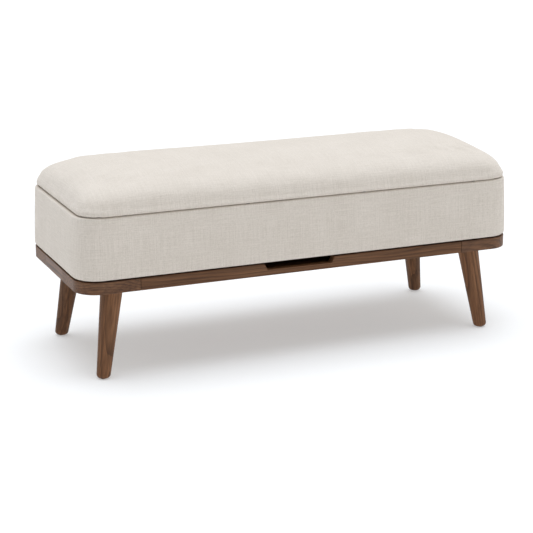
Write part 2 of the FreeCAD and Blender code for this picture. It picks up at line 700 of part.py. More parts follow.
def case(case_screw_group, hinge_screw_group):
    """Plywood box, its foam, its fabric cover and its lining."""
    floor = plate("case_floor", ROOM_X, ROOM_Y, ROOM_R, PLY_LOW, FLOOR_TOP)
    subpart(cut("case_floor_drilled", floor, case_screw_group), "case_bottom")

    straight_x = f"{PLY_X} - ({PLY_R})"
    straight_y = f"{PLY_Y} - ({PLY_R})"
    tall = (PLY_LOW, PLY_TOP)
    across = (f"-({straight_x})", straight_x)
    deep = (f"-({straight_y})", straight_y)
    front = box("front_wall", across, (f"-({PLY_Y})", f"-({ROOM_Y})"), tall)
    rear = box("rear_wall", across, (ROOM_Y, PLY_Y), tall)
    left = box("left_wall", (f"-({PLY_X})", f"-({ROOM_X})"), deep, tall)
    right = box("right_wall", (ROOM_X, PLY_X), deep, tall)
    subpart(front, "case_front_panel")
    subpart(cut("rear_wall_drilled", rear, hinge_screw_group), "case_rear_panel")
    subpart(left, "case_end_panel_left")
    subpart(right, "case_end_panel_right")

    formers = []
    pads = []
    for number, (side, end) in enumerate(((1, 1), (-1, 1), (-1, -1), (1, -1))):
        middle = (f"{side} * ({straight_x})", f"{end} * ({straight_y})", PLY_LOW)
        turn = FreeCAD.Rotation(Z_AXIS, 90 * number)
        height = f"{PLY_TOP} - ({PLY_LOW})"
        outside = cylinder(f"former_outside_{number}", PLY_R, height, middle, turn)
        outside.Angle = 90
        inside = cylinder(f"former_inside_{number}", ROOM_R, height, middle, turn)
        inside.Angle = 90
        formers.append(cut(f"former_{number}", outside, inside))
    subpart(group("formers", formers), "case_corner_formers")

    cover_form = soft_shell("cover_form", "0")
    foam_form = soft_shell("foam_form", "fabric")
    ply_form = plate("ply_form", PLY_X, PLY_Y, PLY_R, "case_low", "case_top")
    foam_ring = cut("foam_ring", foam_form, ply_form)
    slabs = {
        "front": (across, (f"-({PAD_Y})", f"-({PLY_Y}) + 1")),
        "rear": (across, (f"{PLY_Y} - 1", PAD_Y)),
        "left": ((f"-({PAD_X})", f"-({PLY_X}) + 1"), deep),
        "right": ((f"{PLY_X} - 1", PAD_X), deep),
    }
    slab_solids = []
    for word, (x, y) in slabs.items():
        slab = box(f"foam_slab_{word}", x, y, ("case_low", "case_top"))
        slab_solids.append(slab)
        subpart(common(f"foam_{word}", foam_ring, slab), f"case_padding_{word}")
    for number, (side, end) in enumerate(((1, 1), (-1, 1), (-1, -1), (1, -1))):
        x = sided_span(side, straight_x, PAD_X)
        y = sided_span(end, straight_y, PAD_Y)
        quarter = box(f"foam_quarter_{number}", x, y, ("case_low", "case_top"))
        pads.append(common(f"foam_corner_{number}", foam_ring, quarter))
    subpart(group("foam_corners", pads), "case_padding_corners")

    hollow = cut("cover_hollow", cover_form, foam_form)
    mouth = plate("cover_mouth", ROOM_X, ROOM_Y, ROOM_R, "case_top - 5", "case_top + 5")
    open_top = cut("cover_open_top", hollow, mouth)
    under = plate(
        "cover_under",
        "case_half_x - flange",
        "case_half_y - flange",
        "case_corner - flange",
        "case_low - 5",
        "case_low + 5",
    )
    open_both = cut("cover_open_both", open_top, under)
    subpart(cut("cover_drilled", open_both, hinge_screw_group), "case_cover")

    sleeve = plate("lining_sleeve", ROOM_X, ROOM_Y, ROOM_R, FLOOR_TOP, "case_top - 3")
    space = plate(
        "lining_space",
        f"{ROOM_X} - lining",
        f"{ROOM_Y} - lining",
        f"{ROOM_R} - lining",
        f"{FLOOR_TOP} + lining",
        "case_top + 5",
    )
    subpart(cut("lining_cut", sleeve, space), "case_lining")


def case_spacer():
    """Thin ring that keeps the case clear of the frame and makes the shadow gap."""
    outer = plate(
        "spacer_outer",
        f"{HALF_X} - spacer_inset",
        f"{HALF_Y} - spacer_inset",
        "frame_corner - spacer_inset",
        "frame_top",
        "case_low",
    )
    inner = plate(
        "spacer_inner",
        f"{HALF_X} - spacer_inset - spacer_wide",
        f"{HALF_Y} - spacer_inset - spacer_wide",
        "frame_corner - spacer_inset - spacer_wide",
        "frame_top - 1",
        "case_low + 1",
    )
    subpart(cut("spacer_ring", outer, inner), "case_spacer")


# ---------------------------------------------------------------- lid
def dome(name, inset):
    """The lid's domed form, set in by the inset all over."""
    prism = plate(
        name + "_prism",
        f"lid_half_x - {inset}",
        f"lid_half_y - {inset}",
        f"lid_corner - {inset}",
        f"lid_low + {inset}",
        f"lid_top - {inset}",
    )
    start = ("-lid_half_x - 50", "0", f"lid_top - lid_crown - {inset}")
    barrel = cylinder(name + "_barrel", "lid_crown", "2 * lid_half_x + 100", start, ALONG_X)
    crowned = common(name + "_crowned", prism, barrel)
    middle = (size["lid_low"] + size["lid_top"]) / 2

    def top_rim(edge):
        at = edge.BoundBox
        seam = at.YLength < 1 and abs(at.Center.y) < 1
        return at.ZMin > middle and not seam

    radius = size["lid_roll"] - size.get(inset, 0)
    return round_part(name + "_rolled", crowned, radius, top_rim)


def lid(hinge_screw_group):
    """Plywood board, domed foam, fabric cover, dust cover and bumpers."""
    cover_form = dome("lid_cover", "0")
    foam_form = dome("lid_foam", "fabric")
    board = plate(
        "lid_ply",
        "lid_half_x - lid_board_inset",
        "lid_half_y - lid_board_inset",
        "lid_corner - lid_board_inset",
        "lid_low + fabric",
        "lid_low + fabric + lid_board_thick",
    )
    subpart(cut("lid_foam_cut", foam_form, board), "lid_pad")
    subpart(cut("lid_ply_drilled", board, hinge_screw_group), "lid_board")
    under = plate(
        "lid_under",
        "lid_half_x - flange",
        "lid_half_y - flange",
        "lid_corner - flange",
        "lid_low - 5",
        "lid_low + 5",
    )
    hollow = cut("lid_cover_hollow", cover_form, foam_form)
    open_under = cut("lid_cover_open", hollow, under)
    subpart(cut("lid_cover_drilled", open_under, hinge_screw_group), "lid_cover")
    dust = plate(
        "lid_dust",
        "lid_half_x - flange",
        "lid_half_y - flange",
        "lid_corner - flange",
        "lid_low + fabric - dust_cover_thick",
        "lid_low + fabric",
    )
    subpart(dust, "lid_dust_cover")
    bumpers = []
    for number, place in enumerate((-1.5, -0.5, 0.5, 1.5)):
        start = (f"{place} * bumper_pitch", "-hinge_screw_y", "lid_low - bumper_tall")
        bumpers.append(cylinder(f"bumper_{number}", "bumper_radius", "bumper_tall", start))
    subpart(group("bumpers", bumpers), "lid_bumpers")


# ---------------------------------------------------------------- hinges
HINGES = (-1, 0, 1)
KNUCKLES = 5


def hinge_screws(name, label, level, length, down):
    """Three countersunk screws through each leaf."""
    pieces = []
    for hinge in HINGES:
        for number in (-1, 0, 1):
            at = (f"{hinge} * hinge_pitch + {number} * hinge_screw_pitch", "hinge_screw_y", level)
            pieces.append(screw(f"{name}_{hinge + 1}{number + 1}", at, length, down=down))
    return subpart(group(name + "_set", pieces), label)


def hinge_pins():
    """One pin through the knuckles of each hinge."""
    pieces = []
    for hinge in HINGES:
        start = (f"{hinge} * hinge_pitch - hinge_half", "hinge_y", "hinge_level")
        pieces.append(cylinder(f"pin_{hinge + 1}", "pin_radius", "2 * hinge_half", start, ALONG_X))
    return subpart(group("pins", pieces), "hinge_pins")


def hinge_leaves(name, label, first, level, bore, screws):
    """Leaves of the hinges: a plate, and every other knuckle from the first given."""
    leaves = []
    share = f"(2 * hinge_half / {KNUCKLES})"
    for hinge in HINGES:
        middle = f"{hinge} * hinge_pitch"
        across = (f"{middle} - hinge_half", f"{middle} + hinge_half")
        pieces = [box(f"{name}_plate_{hinge + 1}", across, ("leaf_front_y", "leaf_back_y"), level)]
        for knuckle in range(first, KNUCKLES, 2):
            low = f"{middle} - hinge_half + {knuckle} * {share}"
            high = f"{low} + {share}"
            if knuckle > 0:
                low = f"{low} + knuckle_play / 2"
            if knuckle < KNUCKLES - 1:
                high = f"{high} - knuckle_play / 2"
            tag = f"{hinge + 1}{knuckle}"
            tongue = ("leaf_back_y - 1", "tongue_back_y")
            pieces.append(box(f"{name}_tongue_{tag}", (low, high), tongue, level))
            start = (low, "hinge_y", "hinge_level")
            length = f"({high}) - ({low})"
            barrel = cylinder(f"{name}_barrel_{tag}", "knuckle_radius", length, start, ALONG_X)
            pieces.append(barrel)
        solid = fuse(f"{name}_solid_{hinge + 1}", pieces)
        start = (f"{middle} - hinge_half - 1", "hinge_y", "hinge_level")
        hole = cylinder(f"{name}_hole_{hinge + 1}", bore, "2 * hinge_half + 2", start, ALONG_X)
        bored = cut(f"{name}_bored_{hinge + 1}", solid, hole)
        leaves.append(cut(f"{name}_leaf_{hinge + 1}", bored, screws))
    return subpart(group(name + "_leaves", leaves), label)


# ---------------------------------------------------------------- assembly
def build():
    """Every sub-part, fasteners first because their holes are cut with them."""
    dowels = frame_dowels()
    bolts, inserts = hanger_bolts()
    box_screws = case_screws()
    case_leaf = ("hinge_level - leaf_gap - leaf_thick", "hinge_level - leaf_gap")
    lid_leaf = ("hinge_level + leaf_gap", "hinge_level + leaf_gap + leaf_thick")
    case_fix = hinge_screws("case_fix", "hinge_case_screws", case_leaf[1], "case_hinge_screw", True)
    lid_fix = hinge_screws("lid_fix", "hinge_lid_screws", lid_leaf[0], "lid_hinge_screw", False)
    corner_blocks(dowels, bolts, inserts, box_screws)
    frame_rails(dowels)
    runner_strips()
    legs(bolts)
    front_dowels = tray_dowels()
    side_screws = tray_screws()
    tray_front(front_dowels)
    tray_box(front_dowels, side_screws)
    case_spacer()
    case(box_screws, case_fix)
    lid(lid_fix)
    hinge_pins()
    hinge_leaves("case_side", "hinge_case_leaves", 0, case_leaf, "pin_radius", case_fix)
    hinge_leaves("lid_side", "hinge_lid_leaves", 1, lid_leaf, "pin_radius + pin_play", lid_fix)


def check():
    """Stop on anything that failed to build."""
    doc.recompute()
    for item in doc.Objects:
        if {"Invalid", "Error"} & set(item.State):
            raise RuntimeError(f"{item.Name} did not build: {item.State}")
    labels = [item.Label for item in SUBPARTS]
    if len(set(labels)) != len(labels):
        raise RuntimeError("two sub-parts share a name")
    for item in SUBPARTS:
        shape = item.Shape
        if shape.isNull() or not shape.isValid() or not shape.Solids:
            raise RuntimeError(f"{item.Label} has no valid solid")


def export():
    """Write each sub-part to its own file."""
    os.makedirs("parts", exist_ok=True)
    for item in SUBPARTS:
        item.Shape.exportStep(f"parts/{item.Label}.step")
        at = item.Shape.BoundBox
        print(
            f"{item.Label:26s} {len(item.Shape.Solids):3d} solids"
            f"  x {at.XMin:8.1f} {at.XMax:8.1f}  y {at.YMin:8.1f} {at.YMax:8.1f}"
            f"  z {at.ZMin:7.1f} {at.ZMax:7.1f}"
        )


build()
check()
export()
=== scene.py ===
import math

import bmesh
import bpy
from mathutils import Matrix, Vector, noise


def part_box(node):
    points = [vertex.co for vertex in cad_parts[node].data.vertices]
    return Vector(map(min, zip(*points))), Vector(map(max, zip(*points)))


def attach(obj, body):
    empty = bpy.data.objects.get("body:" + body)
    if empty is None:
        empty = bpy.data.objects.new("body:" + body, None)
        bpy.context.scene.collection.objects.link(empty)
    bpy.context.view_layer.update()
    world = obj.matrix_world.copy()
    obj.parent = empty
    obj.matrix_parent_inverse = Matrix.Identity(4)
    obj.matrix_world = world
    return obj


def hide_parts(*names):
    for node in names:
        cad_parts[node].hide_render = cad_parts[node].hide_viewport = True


bl_info = {
    "name": "Storage Ottoman",
    "version": (1, 0, 0),
    "blender": (4, 5, 0),
    "location": "3D View > Sidebar > Ottoman",
    "description": "Upholstery, walnut and studio for a storage ottoman built on a fixed frame",
    "category": "Object",
}

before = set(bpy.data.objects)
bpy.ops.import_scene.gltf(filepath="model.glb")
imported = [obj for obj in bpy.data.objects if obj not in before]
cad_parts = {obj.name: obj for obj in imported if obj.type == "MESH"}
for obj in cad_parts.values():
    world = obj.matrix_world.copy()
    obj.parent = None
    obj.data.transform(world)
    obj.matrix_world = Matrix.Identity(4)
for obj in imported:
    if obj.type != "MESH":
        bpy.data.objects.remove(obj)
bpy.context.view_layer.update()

# Named pieces of the CAD that share a finish.
WALNUT_LENGTHWISE = ("tray_front", "rear_rail")
WALNUT_CROSSWISE = ("end_rail_left", "end_rail_right")
WALNUT_BLOCKS = (
    "corner_block_front_left",
    "corner_block_front_right",
    "corner_block_rear_left",
    "corner_block_rear_right",
)
WALNUT_LEGS = ("leg_front_left", "leg_front_right", "leg_rear_left", "leg_rear_right")
PALE_CROSSWISE = (
    "runner_rail_left",
    "runner_rail_right",
    "runner_strip_left",
    "runner_strip_right",
    "tray_dowels",
)
PLYWOOD_PANELS = (
    "case_bottom",
    "case_front_panel",
    "case_rear_panel",
    "case_end_panel_left",
    "case_end_panel_right",
    "case_corner_formers",
    "lid_board",
)
PLAIN_STEEL = (
    "hinge_case_leaves",
    "hinge_lid_leaves",
    "hinge_pins",
    "hanger_bolts",
    "case_screws",
    "tray_screws",
)

# Sizes that the settings leave out, in metres.
CUSHION_STEP = 0.012  # between the points round the lid and round the case
SHEET_STEP = 0.02  # between the points round a flat cloth
LEAST_CORNER = 0.01  # a corner that is set in gets no tighter
RIPPLE = 0.0005  # how far padded cloth strays from its true surface

LID_CORNER = 0.058  # corner radius of the lid's rim
LID_DROP = 0.0002  # how far the filled lid hangs below its cover's drawn size
LID_VOXEL = 0.0075  # faces of the lid while it is filled
LID_RISE = 0.0005  # least climb from ring to ring up the lid's side
FILL_ROOM = 0.0015  # room under the lid's surface, for the stuffing to fill
LID_HELD = 0.012  # the lid's fabric is held up to this height
LID_UNDERSIDE = 0.0025  # what lies lower belongs to the lid's underside
LID_TOP = 0.02  # what lies higher belongs to the lid's top
RIM_KEPT = 0.006  # the outermost strip of the lid keeps its rolled shape
FLANGE_LIFT = 0.0003  # the turned-in fabric under the lid
BOARD_LIFT = 0.0045  # the underside inside the turned-in fabric, hidden by the board

DUST_SPARE = 0.004  # the dust cover's hem past its drawn size
DUST_CORNER = 0.028  # corner radius of the dust cover
DUST_HEM = 0.014  # width of its hem
STAPLE = (0.010, 0.0011, 0.0006)  # length, width and height of a staple's crown
STAPLE_PITCH = 0.06  # about what lies between two staples
STAPLE_END = 0.04  # from the dust cover's corner to its first staple

CASE_SPARE = 0.0017  # the case's fabric before it is filled, inside its drawn size
CASE_CORNER = 0.064  # corner radius of the case
CASE_FLANGE = 0.034  # fabric turned in under the case

LINING_CORNER = 0.0405  # corner radius of the storage space
LINING_FOLD = 0.006  # rounding where the lining's walls meet its floor
LINING_CLOTH = 0.0004  # thickness of the lining
TAPE_WIDTH = 0.014  # tape that binds the lining's upper edge

SCREW_RADIUS = 0.003  # head of a hinge screw
SCREW_PITCH = 0.035  # between the screws of one leaf
SCREW_STEPS = ((0.0015, 0.5), (0.0105, 1.0), (0.0045, 0.12))  # depth and narrowing: head, shank, point
HINGE_HALF = 0.05  # from the middle of a hinge to the end of its pin


# ---------------------------------------------------------------- settings
def length(name, description, default):
    """A length in metres."""
    return bpy.props.FloatProperty(
        name=name, description=description, default=default, subtype="DISTANCE", unit="LENGTH", precision=4
    )


def amount(name, description, default):
    """A plain number."""
    return bpy.props.FloatProperty(name=name, description=description, default=default, precision=3)


def turn(name, description, degrees):
    """An angle, given in degrees."""
    return bpy.props.FloatProperty(
        name=name, description=description, default=math.radians(degrees), subtype="ANGLE", unit="ROTATION"
    )


def tint(name, description, default):
    """A linear colour."""
    return bpy.props.FloatVectorProperty(
        name=name, description=description, default=default, subtype="COLOR", size=3, min=0.0, max=1.0
    )


class OttomanShape(bpy.types.PropertyGroup):
    """Shape of the upholstery."""

    lid_shoulder: length("Lid shoulder", "How far the lid rolls in before its top is nearly flat", 0.066)
    lid_side: length("Lid side", "Height of the rolled side of the lid", 0.056)
    lid_roundness: amount("Lid roundness", "Power of the rolled side's curve", 2.7)
    lid_spread: amount("Corner spread", "How fast the corners widen towards the top", 0.25)
    crown_spare: length("Crown spare", "How far the crown stands above its cover's drawn size", 0.002)
    crown_cross: amount("Crown across", "Power of the crown across the width", 2.1)
    crown_length: amount("Crown along", "Power of the crown along the length", 11.0)
    foam_rise: length("Foam rise", "Furthest that the stuffing may push the lid's fabric out", 0.005)
    wall_rise: length("Wall rise", "Furthest that the foam may push the case's fabric out", 0.003)
    case_foot: length("Case foot", "Rounding at the foot of the case", 0.009)
    case_lean: length("Case lean", "How far the case's walls lean in at the top", 0.006)
    lid_lip: length("Lid lip", "Rounding of the lid's lower edge", 0.005)
    lid_spare: length("Lid spare", "How far the filled lid stands out past its cover's drawn size", 0.0005)
    case_rim: length("Case rim", "Rounding of the case's rim", 0.0055)
    foam: length("Foam", "Foam on the case's walls", 0.010)
    fabric: length("Fabric", "Thickness of the covering fabric", 0.0015)


class OttomanFinish(bpy.types.PropertyGroup):
    """Colours and scales of the materials."""

    linen: tint("Linen", "Covering fabric", (0.815, 0.748, 0.678))
    linen_shade: tint("Linen shade", "Shaded threads of the covering fabric", (0.545, 0.487, 0.412))
    thread: length("Thread", "Distance between threads", 0.0013)
    walnut_dark: tint("Walnut dark", "Dark growth lines", (0.040, 0.0185, 0.0095))
    walnut: tint("Walnut", "Body of the wood", (0.166, 0.074, 0.033))
    walnut_light: tint("Walnut light", "Pale streaks", (0.270, 0.132, 0.062))
    beech_dark: tint("Beech dark", "Dark streaks of the pale wood", (0.40, 0.26, 0.155))
    beech: tint("Beech", "Body of the pale wood", (0.52, 0.36, 0.22))
    beech_light: tint("Beech light", "Pale streaks of the pale wood", (0.62, 0.46, 0.30))
    lining: tint("Lining", "Lining of the storage space", (0.36, 0.325, 0.285))
    dust_cover: tint("Dust cover", "Fabric under the lid", (0.30, 0.275, 0.245))
    steel: tint("Steel", "Hinges and screws", (0.56, 0.55, 0.52))


class OttomanStudio(bpy.types.PropertyGroup):
    """Camera and light."""

    yaw: turn("Yaw", "Camera round the object", -23.05)
    pitch: turn("Pitch", "Camera above the horizon", 15.81)
    lens: amount("Lens", "Focal length in millimetres", 106.8)
    distance: length("Distance", "Camera from the point it looks at", 4.2259)
    aim_side: length("Aim sideways", "Point the camera looks at, along the length", -0.0173)
    aim_height: length("Aim height", "Point the camera looks at, above the floor", 0.1812)
    surround: amount("Surround", "Strength of the light from all round", 0.605)
    dim_turn: turn("Dim side", "Where the surround is dimmest, from the right towards the rear", 222)
    dim: amount("Dim", "How much darker the surround is there", 1.0)
    floor: tint("Floor", "Studio floor", (0.63, 0.63, 0.63))
    glow: amount("Floor glow", "Light that comes up through the floor", 0.37)
    key: amount("Key", "Strength of the main light", 2.21)
    key_turn: turn("Key turn", "Main light, from the right towards the rear", 80)
    key_height: turn("Key height", "Main light above the horizon", 87)
    key_spread: turn("Key spread", "How broad the main light is", 58)
    side: amount("Side", "Strength of the side light", 0.08)
    side_turn: turn("Side turn", "Side light, from the right towards the rear", 180)
    side_height: turn("Side height", "Side light above the horizon", 25)
    side_spread: turn("Side spread", "How broad the side light is", 60)


# ---------------------------------------------------------------- mesh helpers
def settings():
    """The scene's three groups of settings."""
    scene = bpy.context.scene
    return scene.ottoman_shape, scene.ottoman_finish, scene.ottoman_studio


def low_high(node):
    """Corners of a CAD node as vectors."""
    low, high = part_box(node)
    return Vector(low), Vector(high)


def finish_piece(name, bm, body, material, smooth=True):
    """Turn a bmesh into a piece that rides on a body."""
    bmesh.ops.recalc_face_normals(bm, faces=bm.faces)
    mesh = bpy.data.meshes.new(name)
    bm.to_mesh(mesh)
    bm.free()
    mesh.polygons.foreach_set("use_smooth", [smooth] * len(mesh.polygons))
    piece = bpy.data.objects.new(name, mesh)
    bpy.context.scene.collection.objects.link(piece)
    mesh.materials.append(material)
    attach(piece, body)
    return piece


def rounded_loop(bm, half_x, half_y, corner, step):
    """Closed loop of edges round a rounded rectangle, evenly divided; returns its edges."""
    plan = bmesh.ops.create_grid(bm, x_segments=1, y_segments=1, size=1.0)["verts"]
    for vert in plan:
        vert.co = Vector((vert.co.x * half_x, vert.co.y * half_y, 0.0))
    arcs = max(6, round(corner * math.pi / 2 / step))
    bmesh.ops.bevel(
        bm,
        geom=plan,
        offset=corner,
        offset_type="OFFSET",
        affect="VERTICES",
        segments=arcs,
        profile=0.5,
        material=-1,
    )
    faces = list(bm.faces)
    bmesh.ops.delete(bm, geom=faces, context="FACES_ONLY")
    for edge in list(bm.edges):
        cuts = round(edge.calc_length() / step) - 1
        if cuts > 0:
            bmesh.ops.subdivide_edges(bm, edges=[edge], cuts=cuts)
    place = bm.verts.layers.float_vector.new("plan")
    for vert in bm.verts:
        vert[place] = vert.co
    return list(bm.edges)


def on_ring(plan, half, corner, inset, radius):
    """Where a point of the plan lies on the ring that is set in, with its own corner radius."""
    side = Vector((math.copysign(1, plan.x), math.copysign(1, plan.y)))
    spare = Vector((abs(plan.x) - (half.x - corner), abs(plan.y) - (half.y - corner)))
    inner = Vector((half.x - inset - radius, half.y - inset - radius))
    if spare.x > 0 and spare.y > 0:
        point = inner + spare.normalized() * radius
    elif spare.x > 0:
        point = Vector((half.x - inset, abs(plan.y) * inner.y / (half.y - corner)))
    else:
        point = Vector((abs(plan.x) * inner.x / (half.x - corner), half.y - inset))
    return point.x * side.x, point.y * side.y


def sweep_rings(bm, edges, half, corner, stations):
    """Extrude a loop through stations of (inset, height, corner radius); returns the last loop."""
    place = bm.verts.layers.float_vector["plan"]
    loop = edges
    first = True
    for inset, height, radius in stations:
        if not first:
            grown = bmesh.ops.extrude_edge_only(bm, edges=loop)["geom"]
            loop = [item for item in grown if isinstance(item, bmesh.types.BMEdge)]
            verts = [item for item in grown if isinstance(item, bmesh.types.BMVert)]
            loop = [edge for edge in loop if all(vert in verts for vert in edge.verts)]
        first = False
        for vert in {vert for edge in loop for vert in edge.verts}:
            x, y = on_ring(vert[place], half, corner, inset, radius)
            vert.co = Vector((x, y, height))
    return loop


def arc(middle, radius, start, end, steps):
    """Points of a circular arc in (inset, height), angles in degrees from outwards, up positive."""
    points = []
    for index in range(steps + 1):
        angle = math.radians(start + (end - start) * index / steps)
        points.append((middle[0] - radius * math.cos(angle), middle[1] + radius * math.sin(angle)))
    return points


def set_in(outline, corner):
    """Stations for sweep_rings: the corner's radius shrinks as the ring is set in."""
    return [(inset, height, max(corner - inset, LEAST_CORNER)) for inset, height in outline]


def close_tube(bm, last):
    """Join the last ring of a sweep to its first."""
    first = [edge for edge in bm.edges if edge.is_boundary and edge not in last]
    bmesh.ops.bridge_loops(bm, edges=first + last)


def thicken(piece, thickness):
    """Give a sheet its thickness, half to each side."""
    cloth = piece.modifiers.new("thickness", "SOLIDIFY")
    cloth.thickness = thickness
    cloth.offset = 0.0


def even_out(piece, size):
    """Rebuild a piece of even faces, ready for a cloth simulation."""
    material = piece.data.materials[0]
    even = piece.modifiers.new("even", "REMESH")
    even.mode = "VOXEL"
    even.voxel_size = size
    even.adaptivity = 0.0
    mesh = bpy.data.meshes.new_from_object(piece.evaluated_get(bpy.context.evaluated_depsgraph_get()))
    piece.modifiers.remove(even)
    piece.data = mesh
    mesh.name = piece.name
    mesh.polygons.foreach_set("use_smooth", [True] * len(mesh.polygons))
    if not mesh.materials:
        mesh.materials.append(material)


def ripple(point, size, seed):
    """Smooth noise from -1 to 1 at a point, for cloth that is never quite flat."""
    return noise.noise(Vector((point.x, point.y, point.z + seed)) / size)


def puff(piece, held, cap, pressure, frames=20):
    """Fill a piece by cloth simulation under pressure, and cap how far it may move."""
    mesh = piece.data
    start = [vert.co.copy() for vert in mesh.vertices]
    pins = piece.vertex_groups.new(name="held")
    for index, point in enumerate(start):
        pins.add([index], held(point), "REPLACE")
    cloth = piece.modifiers.new("fill", "CLOTH")
    cloth.settings.quality = 5
    cloth.settings.mass = 0.3
    cloth.settings.tension_stiffness = 15
    cloth.settings.compression_stiffness = 15
    cloth.settings.bending_stiffness = 0.5
    cloth.settings.use_pressure = True
    cloth.settings.uniform_pressure_force = pressure
    cloth.settings.vertex_group_mass = pins.name
    cloth.settings.effector_weights.gravity = 0.0
    cloth.collision_settings.use_collision = False
    cloth.point_cache.frame_start = 1
    cloth.point_cache.frame_end = frames
    scene = bpy.context.scene
    for number in range(1, frames + 1):
        scene.frame_set(number)
    solved = piece.evaluated_get(bpy.context.evaluated_depsgraph_get())
    ends = [vert.co.copy() for vert in solved.data.vertices]
    piece.modifiers.remove(cloth)
    piece.vertex_groups.remove(pins)
    scene.frame_set(1)
    for vert, before, after in zip(mesh.vertices, start, ends):
        move = after - before
        if move.length > cap:
            move = move.normalized() * cap
        vert.co = before + move
    mesh.update()


def soften(piece, levels=1):
    """Subdivision, with the same levels in the view and in the render."""
    smooth = piece.modifiers.new("smooth", "SUBSURF")
    smooth.levels = levels
    smooth.render_levels = levels


# ---------------------------------------------------------------- shader helpers
FLOAT = "NodeSocketFloat"
COLOUR = "NodeSocketColor"
VECTOR = "NodeSocketVector"

# How often each pattern of the cloth repeats, per metre across and along.
UPRIGHT_SLUBS = (420, 13, 1)
LEVEL_SLUBS = (15, 460, 1)
UPRIGHT_YARN = (760, 120, 1)
LEVEL_YARN = (120, 760, 1)
CLOTH_PATCHES = 9.0
THREAD_WANDER = 60.0

# How much each pattern of the cloth counts in the share of pale thread.
PALE_SHARE = 0.68
YARN_SHARE = 0.95
PATCH_SHARE = 0.35
THREAD_SHARE = 0.3
SLUB_ON_TOP = 0.65

# How often each pattern of the wood repeats, per metre along and across the grain.
GRAIN_DRIFT = (1.6, 11, 11)
GRAIN_FIBRE = (5, 240, 240)
GRAIN_FLECK = (28, 900, 900)
GRAIN_CLOUDS = (3, 20, 20)

# How dark growth lines, fibres and pores get.
LINE_SHARE = 0.62
FIBRE_SHARE = 0.6
PORE_SHARE = 0.55


def add(tree, kind, inputs=None, **options):
    """A node with its options and its inputs, each a value or another node's socket."""
    node = tree.nodes.new(kind)
    for name, value in options.items():
        setattr(node, name, value)
    for key, value in (inputs or {}).items():
        if isinstance(value, bpy.types.NodeSocket):
            tree.links.new(value, node.inputs[key])
        else:
            node.inputs[key].default_value = value
    return node


def maths(tree, operation, first, second=0.0, third=0.0):
    """Output of a Math node."""
    return add(tree, "ShaderNodeMath", {0: first, 1: second, 2: third}, operation=operation).outputs[0]


def blend_colour(tree, share, first, second, kind="MIX"):
    """Output of a colour mix."""
    node = add(tree, "ShaderNodeMix", {0: share, 6: first, 7: second}, data_type="RGBA", blend_type=kind)
    return node.outputs[2]


def remap(tree, value, low, high, to_low, to_high):
    """Value carried from one range to another, held at the ends."""
    inputs = {0: value, 1: low, 2: high, 3: to_low, 4: to_high}
    return add(tree, "ShaderNodeMapRange", inputs).outputs[0]


def stretched(tree, vector, scale):
    """Vector multiplied on each axis."""
    return add(tree, "ShaderNodeVectorMath", {0: vector, 1: scale}, operation="MULTIPLY").outputs[0]


def cloud(tree, vector, scale, detail=2.0, roughness=0.5, distortion=0.0):
    """Noise from 0 to 1."""
    inputs = {
        "Vector": vector,
        "Scale": scale,
        "Detail": detail,
        "Roughness": roughness,
        "Distortion": distortion,
    }
    return add(tree, "ShaderNodeTexNoise", inputs).outputs[0]


def new_group(name, inputs, outputs):
    """An empty shader node group with named sockets; returns it with its two end nodes."""
    tree = bpy.data.node_groups.new(name, "ShaderNodeTree")
    for label, kind in inputs:
        tree.interface.new_socket(label, in_out="INPUT", socket_type=kind)
    for label, kind in outputs:
        tree.interface.new_socket(label, in_out="OUTPUT", socket_type=kind)
    return tree, tree.nodes.new("NodeGroupInput"), tree.nodes.new("NodeGroupOutput")


def darker(colour, share):
    """A colour made darker."""
    return [channel * share for channel in colour]


def opaque(colour):
    """A colour with full alpha."""
    return (*colour, 1)


def cloth_plane_group():
    """Picks the cloth's own two directions from which way the surface faces."""
    tree, _, end = new_group("cloth_directions", (), (("Across", FLOAT), ("Along", FLOAT), ("Top", FLOAT)))
    coords = add(tree, "ShaderNodeTexCoord")
    point = add(tree, "ShaderNodeSeparateXYZ", {0: coords.outputs["Object"]})
    facing = add(tree, "ShaderNodeVectorMath", {0: coords.outputs["Normal"]}, operation="ABSOLUTE")
    face = add(tree, "ShaderNodeSeparateXYZ", {0: facing.outputs[0]})
    widest = maths(tree, "MAXIMUM", face.outputs[0], face.outputs[1])
    on_top = maths(tree, "GREATER_THAN", face.outputs[2], widest)
    on_end = maths(tree, "GREATER_THAN", face.outputs[0], face.outputs[1])
    on_side = maths(tree, "SUBTRACT", 1.0, on_top)
    on_end = maths(tree, "MULTIPLY", on_end, on_side)
    across = add(tree, "ShaderNodeMix", {0: on_end, 2: point.outputs[0], 3: point.outputs[1]})
    along = add(tree, "ShaderNodeMix", {0: on_top, 2: point.outputs[2], 3: point.outputs[1]})
    tree.links.new(across.outputs[0], end.inputs["Across"])
    tree.links.new(along.outputs[0], end.inputs["Along"])
    tree.links.new(on_top, end.inputs["Top"])
    return tree


